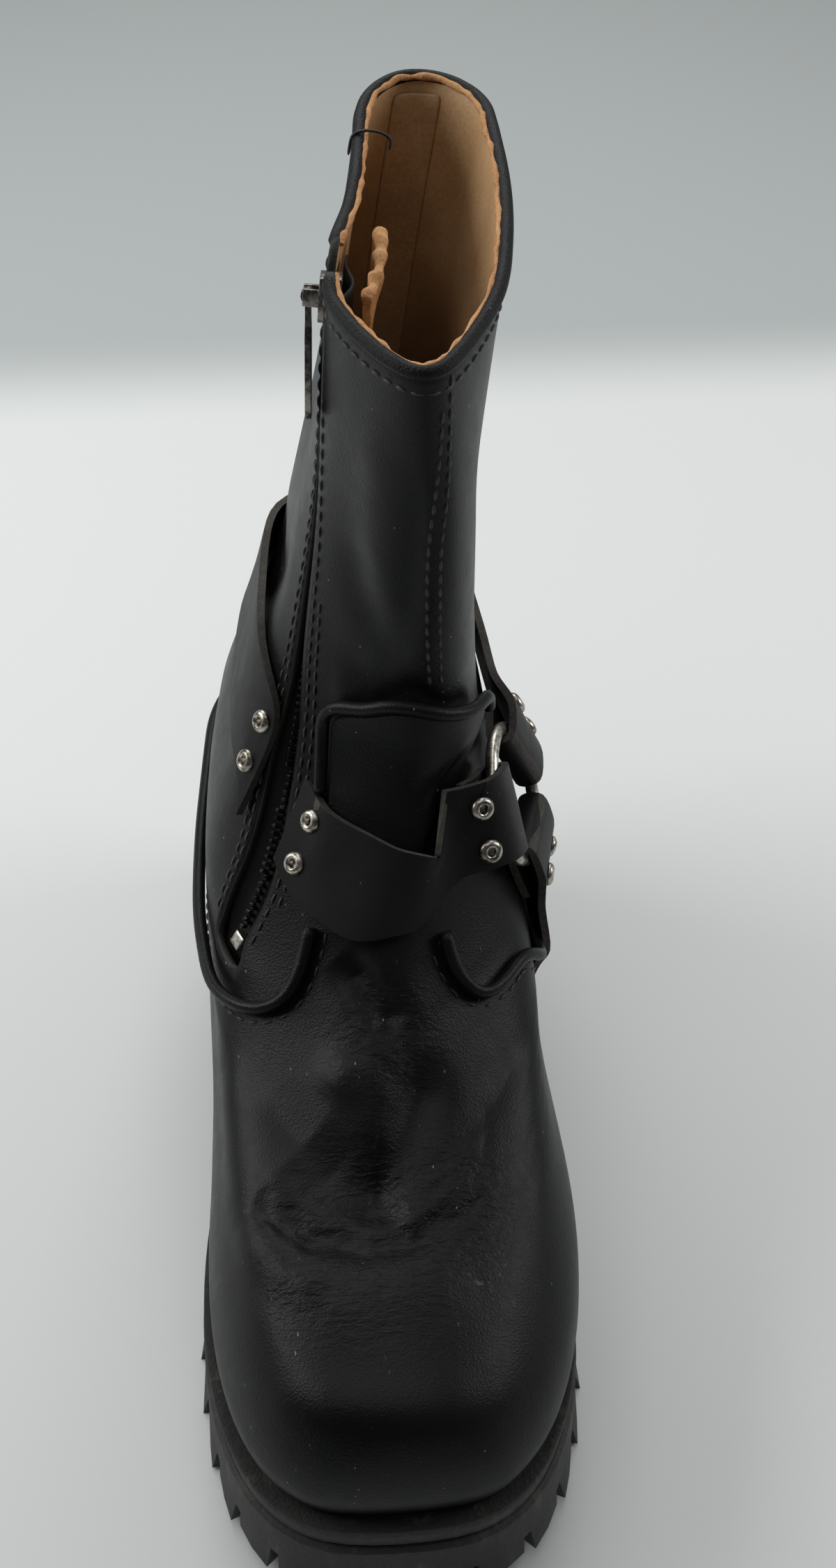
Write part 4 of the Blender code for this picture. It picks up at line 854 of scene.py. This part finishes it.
zipSettings = {"pitch": 0.0024, "tooth": (0.003, 0.0013, 0.0016), "tip": 0.7,
               "aside": 0.0009, "round": 0.0003}
tearSettings = {"reach": 0.014, "rough": 260.0, "coarse": 90.0, "swell": (0.0011, 0.0012),
                "waves": 0.0002, "height": (-0.0006, 0.0016)}


def nodeCentreLine(node, perRow):
    # Middle of each row of a long strip, from its foot to its top
    points = sorted({tuple(round(c, 5) for c in v.co) for v in nodes[node].data.vertices},
                    key=lambda p: p[2])
    rows = [points[i:i + perRow] for i in range(0, len(points) - perRow + 1, perRow)]
    return [sum((Vector(p) for p in row), Vector()) / len(row) for row in rows]


def tearTop(item):
    # The gusset's upper edge is torn: rough and swollen near its top
    addSmooth(item, 1).subdivision_type = "SIMPLE"
    applyModifiers(item)
    look = tearSettings
    top = max(vertex.co.z for vertex in item.data.vertices)
    normals = [vertex.normal.copy() for vertex in item.data.vertices]
    for vertex, normal in zip(item.data.vertices, normals):
        near = max(0.0, 1.0 - (top - vertex.co.z) / look["reach"])
        rough = noise.noise(vertex.co * look["rough"])
        coarse = noise.noise(vertex.co * look["coarse"])
        swell = look["swell"][0] + look["swell"][1] * rough
        vertex.co += normal * (near * swell + look["waves"] * coarse)
        vertex.co.z += near * (look["height"][0] + look["height"][1] * rough)
    item.data.update()


def toothShape():
    selectNone()
    bpy.ops.mesh.primitive_cube_add(size=1.0)
    item = bpy.context.view_layer.objects.active
    long, wide, high = zipSettings["tooth"]
    for vertex in item.data.vertices:
        narrow = zipSettings["tip"] if vertex.co.x > 0 else 1.0
        vertex.co = Vector((vertex.co.x * long, vertex.co.y * wide * narrow,
                            vertex.co.z * high))
    bevel = item.modifiers.new("bevel", "BEVEL")
    bevel.width = zipSettings["round"]
    bevel.segments = 1
    applyModifiers(item)
    mesh = item.data
    bpy.data.objects.remove(item)
    return mesh


def buildZip():
    line = smoothLine(nodeCentreLine("zip_chain", 4), zipSettings["pitch"])
    tooth = toothShape()
    shape = bmesh.new()
    for i, place in enumerate(line):
        ahead = stepAt(line, i).normalized()
        skin, normal = onSkin(place)
        outward = skin - place
        outward = normal if outward.length < 1e-6 else outward.normalized()
        side = ahead.cross(outward).normalized()
        outward = side.cross(ahead).normalized()
        for sign in (-1, 1):
            turn = Matrix((side * -sign, ahead, outward * -sign)).transposed().to_4x4()
            shift = 0.0 if sign > 0 else zipSettings["pitch"] / 2
            turn.translation = place + side * (sign * zipSettings["aside"]) + ahead * shift
            stampMesh(shape, tooth, turn)
    bmesh.ops.recalc_face_normals(shape, faces=shape.faces)
    takeOn(addPiece("zipTeeth", shape, toothMetal), "dark_steel", "zip_chain")
    for node, name, material, slot, levels in (
            ("zip_tape", "zipTape", zipCloth, "cloth", 1),
            ("zip_gusset", "gussetSkin", rawEdge, "tan_leather", 2),
            ("zip_stop", "zipStop", nickel, "steel", 1),
            ("zip_slider", "sliderSkin", darkNickel, "dark_steel", 0),
            ("zip_pull", "pullSkin", darkNickel, "dark_steel", 0)):
        copy = copyOfNode(node, name, material)
        rounded(copy, zipSettings["round"], levels)
        if node == "zip_gusset":
            tearTop(copy)
        takeOn(copy, slot, node, body=pullBody if node == "zip_pull" else bodyName)


buildZip()
print("zip made")


# Lines that other pieces follow

def tubeRings(node, width):
    # Middles of a packed tube's rings, in order from one end
    shape = bmesh.new()
    shape.from_mesh(nodes[node].data)
    bmesh.ops.remove_doubles(shape, verts=shape.verts, dist=meshSettings["weld"])

    def levels(starts):
        found = {vertex: 0 for vertex in starts}
        front = list(starts)
        while front:
            ahead = []
            for vertex in front:
                for edge in vertex.link_edges:
                    other = edge.other_vert(vertex)
                    if other not in found:
                        found[other] = found[vertex] + 1
                        ahead.append(other)
            front = ahead
        return found

    shape.verts.ensure_lookup_table()
    first = levels([shape.verts[0]])
    end = max(shape.verts, key=lambda v: (first[v], v.index))
    starts = [v for v in shape.verts if (v.co - end.co).length < width]
    rings = {}
    for vertex, level in levels(starts).items():
        rings.setdefault(level, []).append(vertex.co.copy())
    shape.free()
    return [sum(ring, Vector()) / len(ring) for level, ring in sorted(rings.items())]


def borderLines(item, first, second):
    # Lines between two materials' faces, each as places with the second's normal
    shape = bmesh.new()
    shape.from_mesh(item.data)
    links = {}
    for edge in shape.edges:
        kinds = {face.material_index for face in edge.link_faces}
        if kinds == {first, second}:
            face = next(f for f in edge.link_faces if f.material_index == second)
            a, b = edge.verts
            links.setdefault(a.index, []).append((b.index, face.normal.copy()))
            links.setdefault(b.index, []).append((a.index, face.normal.copy()))
    shape.verts.ensure_lookup_table()
    places = {index: shape.verts[index].co.copy() for index in links}
    shape.free()
    lines = []
    left = set(links)
    while left:
        here = min(left)
        line = []
        while here is not None:
            left.discard(here)
            line.append((places[here], links[here][0][1]))
            here = next((other for other, normal in links[here] if other in left), None)
        lines.append(line)
    return lines


rimSettings = {"level": 0.6, "foot": 0.262, "ahead": 12, "enough": 9, "thin": 4}


def rimLine(item, first):
    # The mouth's edge, from one side of the zip round to the other, and the zip's slot
    lines = borderLines(item, first, 2)
    line = max(lines, key=lambda points: max(place.z for place, normal in points))
    up = [normal.z > rimSettings["level"] and place.z > rimSettings["foot"]
          for place, normal in line]
    count = len(line)
    start = next(k for k in range(count) if up[k] and not up[k - 1]
                 and sum(up[(k + j) % count] for j in range(rimSettings["ahead"]))
                 > rimSettings["enough"])
    rim, slot = [], []
    for k in range(start, start + count):
        place, normal = line[k % count]
        (rim if up[k % count] else slot).append(place)
    return rim, slot


rimOuter, slotOuter = rimLine(upperSkin, 0)
rimInner, slotInner = rimLine(upperSkin, 1)


def eased(places, step):
    return smoothLine(places[::rimSettings["thin"]] + [places[-1]], step)


def slotSides(slot, foot):
    # The slot's two edges above a height, parted where the line jumps
    slot = [place for place in slot if place.z > foot]
    split = max(range(1, len(slot)), key=lambda k: (slot[k] - slot[k - 1]).length)
    return slot[:split], slot[split:]


# Mouth: rolled edge, torn lining edge, seam tape and a loose thread

mouthSettings = {"roll": 0.002, "lean": 0.35, "sink": 0.0009, "step": 0.0022, "seed": 21,
                 "raw": 0.001, "rawOut": 0.0003, "rawSink": 0.0004, "wander": 0.00022,
                 "swell": (0.6, 1.35), "sideFoot": 0.225, "sideRaw": 0.0008,
                 "sideWander": 0.0002, "sideThin": 3, "sideLeast": 7}
tapeSettings = {"half": 0.007, "rows": 34, "columns": 7, "step": 0.0048, "top": 0.0045,
                "ahead": 0.012, "edge": 0.00025, "crown": 0.0005, "thickness": 0.0008}
threadSettings = {"pixel": (527, 205), "radius": 0.00045, "step": 0.0008, "path": (
    (-0.003, 0.000, -0.004), (-0.0018, 0.000, 0.0012), (0.0008, 0.000, 0.0026),
    (0.004, 0.001, 0.0022), (0.0072, 0.002, 0.0008), (0.009, 0.002, -0.001),
    (0.0086, 0.001, -0.0034))}


def roughTube(name, places, radius, wander, seed):
    # A raw edge: a cord that wanders and swells
    draw = random.Random(seed)
    middles, radii = [], []
    for place in places:
        middles.append(place + Vector([draw.gauss(0, wander) for _ in range(3)]))
        radii.append(draw.uniform(*mouthSettings["swell"]))
    item = cordPiece(name, middles, radii, radius, 2, rawEdge)
    addSmooth(item, 1)
    applyModifiers(item)
    takeOn(item, "tan_leather")


def toPixel(place):
    local = scene.camera.matrix_world.inverted() @ place
    scale = cameraSettings["focalPixels"] / -local.z
    across, down = cameraSettings["centre"]
    return across + local.x * scale, down - local.y * scale


def buildTape(top):
    # Tape over the lining's back seam, from below the top down along the back
    look = tapeSettings
    last = look["columns"] - 1
    behind = Vector((0, 1, 0))
    shape = bmesh.new()
    grid = []
    spine = top - Vector((0, look["ahead"], look["top"]))
    for _ in range(look["rows"]):
        sides = [skinTree.ray_cast(spine, Vector((way, 0, 0)))[0] for way in (-1, 1)]
        if None not in sides:
            spine.x = (sides[0].x + sides[1].x) / 2
        rear = skinTree.ray_cast(spine, behind)[0]
        if rear is not None:
            spine.y = rear.y - look["ahead"]
        line = []
        for k in range(look["columns"]):
            share = 2 * k / last - 1
            start = Vector((spine.x + look["half"] * share, spine.y, spine.z))
            place = skinTree.ray_cast(start, behind)[0] or start
            lift = look["edge"] + look["crown"] * (1 - abs(share) ** 4)
            line.append(shape.verts.new(place - behind * lift))
        grid.append(line)
        spine.z -= look["step"]
    for above, below in zip(grid, grid[1:]):
        for k in range(last):
            shape.faces.new((above[k], above[k + 1], below[k + 1], below[k]))
    tape = addPiece("backTape", shape, tapeLeather)
    thick = tape.modifiers.new("thick", "SOLIDIFY")
    thick.thickness = look["thickness"]
    thick.offset = 0.0
    addSmooth(tape, 1)
    applyModifiers(tape)
    tape.data.shade_smooth()
    takeOn(tape, "tan_leather")


def buildMouth():
    bpy.context.view_layer.update()
    look = mouthSettings
    outer = eased(rimOuter, look["step"])
    inner = eased(rimInner, look["step"])
    middle = []
    for place in outer:
        near = min(inner, key=lambda other: (other - place).length)
        middle.append(place.lerp(near, look["lean"]) - Vector((0, 0, look["sink"])))
    takeOn(tubeAlong("mouthRoll", middle, look["roll"], rimEdgeLeather), "black_leather")
    raw = []
    for place in inner:
        near = min(outer, key=lambda other: (other - place).length)
        raw.append(place + (place - near).normalized() * look["rawOut"]
                   - Vector((0, 0, look["rawSink"])))
    roughTube("tornEdge", raw, look["raw"], look["wander"], look["seed"])
    # Where the lining was cut beside the zip
    for number, side in enumerate(slotSides(slotInner, look["sideFoot"])):
        if len(side) >= look["sideLeast"]:
            roughTube("tornSide" + str(number), side[::look["sideThin"]], look["sideRaw"],
                      look["sideWander"], look["seed"] + 1 + number)
    buildTape(max(inner, key=lambda place: place.y))
    # The loose thread over the edge
    want = Vector(threadSettings["pixel"])
    start = min(middle, key=lambda place: (Vector(toPixel(place)) - want).length)
    path = smoothLine([start + Vector(p) for p in threadSettings["path"]],
                      threadSettings["step"])
    takeOn(tubeAlong("looseThread", path, threadSettings["radius"], threadBlack), "cloth")


buildMouth()
print("mouth made")


# Seams

seamSettings = {
    "shaft": ((0.0295, -0.092, 0.286), (0.03, -0.093, 0.274), (0.029, -0.093, 0.253),
              (0.027, -0.093, 0.233), (0.027, -0.091, 0.208), (0.028, -0.09, 0.186)),
    "shaftGap": 0.0036, "pitch": 0.0046, "stitch": 0.0036, "radius": 0.00055,
    "lift": 0.0001, "rimDrop": 0.0065, "slotFoot": 0.108, "slotLeast": 8,
    "zipOffsets": (0.0024, 0.0052), "zipLift": 0.001, "shaftAxis": (0.016, -0.03, 0.2),
    "rollWidth": 0.0046, "rollOffset": 0.0042, "instep": (0.004, -0.06, 0.19),
}


def offsetRow(line, centre, amount):
    # A row beside a line, away from a centre
    row = []
    for i, place in enumerate(line):
        skin, normal = onSkin(place)
        side = normal.cross(stepAt(line, i)).normalized()
        if side.dot(place - centre) < 0:
            side.negate()
        row.append(onSkin(skin + side * amount, seamSettings["lift"]))
    return row


def zipRows(line, outward):
    # Rows beside one lip, kept on the side that it starts on
    rows = []
    for offset in seamSettings["zipOffsets"]:
        row = []
        across = outward
        for i, place in enumerate(line):
            facing = place - Vector(seamSettings["shaftAxis"])
            facing.z = 0.0
            turned = facing.cross(stepAt(line, i)).normalized()
            across = turned if turned.dot(across) > 0 else -turned
            row.append(onSkin(place + across * offset
                              + facing.normalized() * seamSettings["zipLift"],
                              seamSettings["lift"]))
        rows.append(row)
    return rows


def buildSeams():
    look = seamSettings
    pitch, lift, size = look["pitch"], look["lift"], (look["stitch"], look["radius"])
    rows = []
    for shift in (-0.5, 0.5):
        points = [Vector(p) + Vector((shift * look["shaftGap"], 0, 0)) for p in look["shaft"]]
        rows.append([onSkin(p, lift) for p in smoothLine(points, pitch)])
    sewn("shaftSeam", rows, *size)
    drop = Vector((0, 0, look["rimDrop"]))
    sewn("mouthSeam", [[onSkin(p - drop, lift) for p in eased(rimOuter, pitch)]], *size)
    # Both lips of the zip, each from its foot up
    chain = nodeCentreLine("zip_chain", 4)
    rows = []
    for side in slotSides(slotOuter, look["slotFoot"]):
        if len(side) < look["slotLeast"]:
            continue
        line = eased(side, pitch)
        if line[0].z > line[-1].z:
            line.reverse()
        widest = line[len(line) // 6]
        near = min(chain, key=lambda p: (p - widest).length)
        rows += zipRows(line, (widest - near).normalized())
    sewn("zipSeam", rows, *size)
    # Outside the roll along the vamp
    line = smoothLine(tubeRings("piping_vamp", look["rollWidth"]), pitch)
    sewn("vampSeam", [offsetRow(line, Vector(look["instep"]), look["rollOffset"])], *size)


buildSeams()
print("seams made")


# Floor and light

# The floor's own pale colour, and a darker grey further back that is painted shade
stageSettings = {"size": 14.0, "floor": (0.74, 0.755, 0.75), "far": (0.44, 0.47, 0.465),
                 "turn": (0.36, 0.46), "roughness": 0.6, "specular": 0.25}
skySettings = {"colour": (0.9, 0.94, 0.94, 1.0), "level": 0.3, "least": 0.25,
               "more": 0.9, "turn": (-0.5, 0.7)}
lampSettings = (
    # name, place, target, size, power
    ("leftLamp", (-0.95, 0.15, 0.75), (0.0, -0.05, 0.12), 0.7, 6.8),
    ("rightLamp", (0.95, 0.05, 0.65), (0.0, -0.05, 0.12), 0.5, 3.2),
    ("backLamp", (0.0, 0.95, 1.25), (0.0, -0.05, 0.12), 1.0, 9.0),
    ("topLamp", (-0.1, -0.05, 1.7), (0.0, -0.05, 0.1), 1.2, 4.6),
)


def makeStage():
    look = stageSettings
    selectNone()
    bpy.ops.mesh.primitive_plane_add(size=1.0)
    floor = bpy.context.view_layer.objects.active
    floor.name = "floor"
    for vertex in floor.data.vertices:
        vertex.co *= look["size"]
    material, tree, shader, place = newMaterial("floorPaint")
    depth = place.node("ShaderNodeSeparateXYZ", None, {0: place}, out=1)
    # Painted shade: the floor is mixed to a darker grey further back along Y
    colour = depth.over(*look["turn"]).mixed((*look["floor"], 1), (*look["far"], 1))
    tree.links.new(colour.out, shader.inputs["Base Color"])
    shader.inputs["Roughness"].default_value = look["roughness"]
    shader.inputs["Specular IOR Level"].default_value = look["specular"]
    floor.data.materials.append(material)


def makeSky():
    # Brighter ahead of the camera than behind it
    look = skySettings
    world = bpy.data.worlds.new("studio")
    scene.world = world
    world.use_nodes = True
    tree = world.node_tree
    view = Shade(tree, tree.nodes.new("ShaderNodeTexCoord").outputs["Generated"])
    ahead = view.node("ShaderNodeSeparateXYZ", None, {0: view}, out=1)
    level = (look["least"] + ahead.over(*look["turn"]) * look["more"]) * look["level"]
    background = tree.nodes["Background"]
    tree.links.new(level.out, background.inputs["Strength"])
    background.inputs["Color"].default_value = look["colour"]


def makeLamps():
    for name, place, target, size, power in lampSettings:
        data = bpy.data.lights.new(name, "AREA")
        data.energy = power
        data.size = size
        light = bpy.data.objects.new(name, data)
        scene.collection.objects.link(light)
        light.location = place
        aim = Vector(target) - Vector(place)
        light.rotation_euler = aim.to_track_quat("-Z", "Y").to_euler()


makeStage()
makeSky()
makeLamps()
scene.view_settings.view_transform = "Standard"
print("stage made")
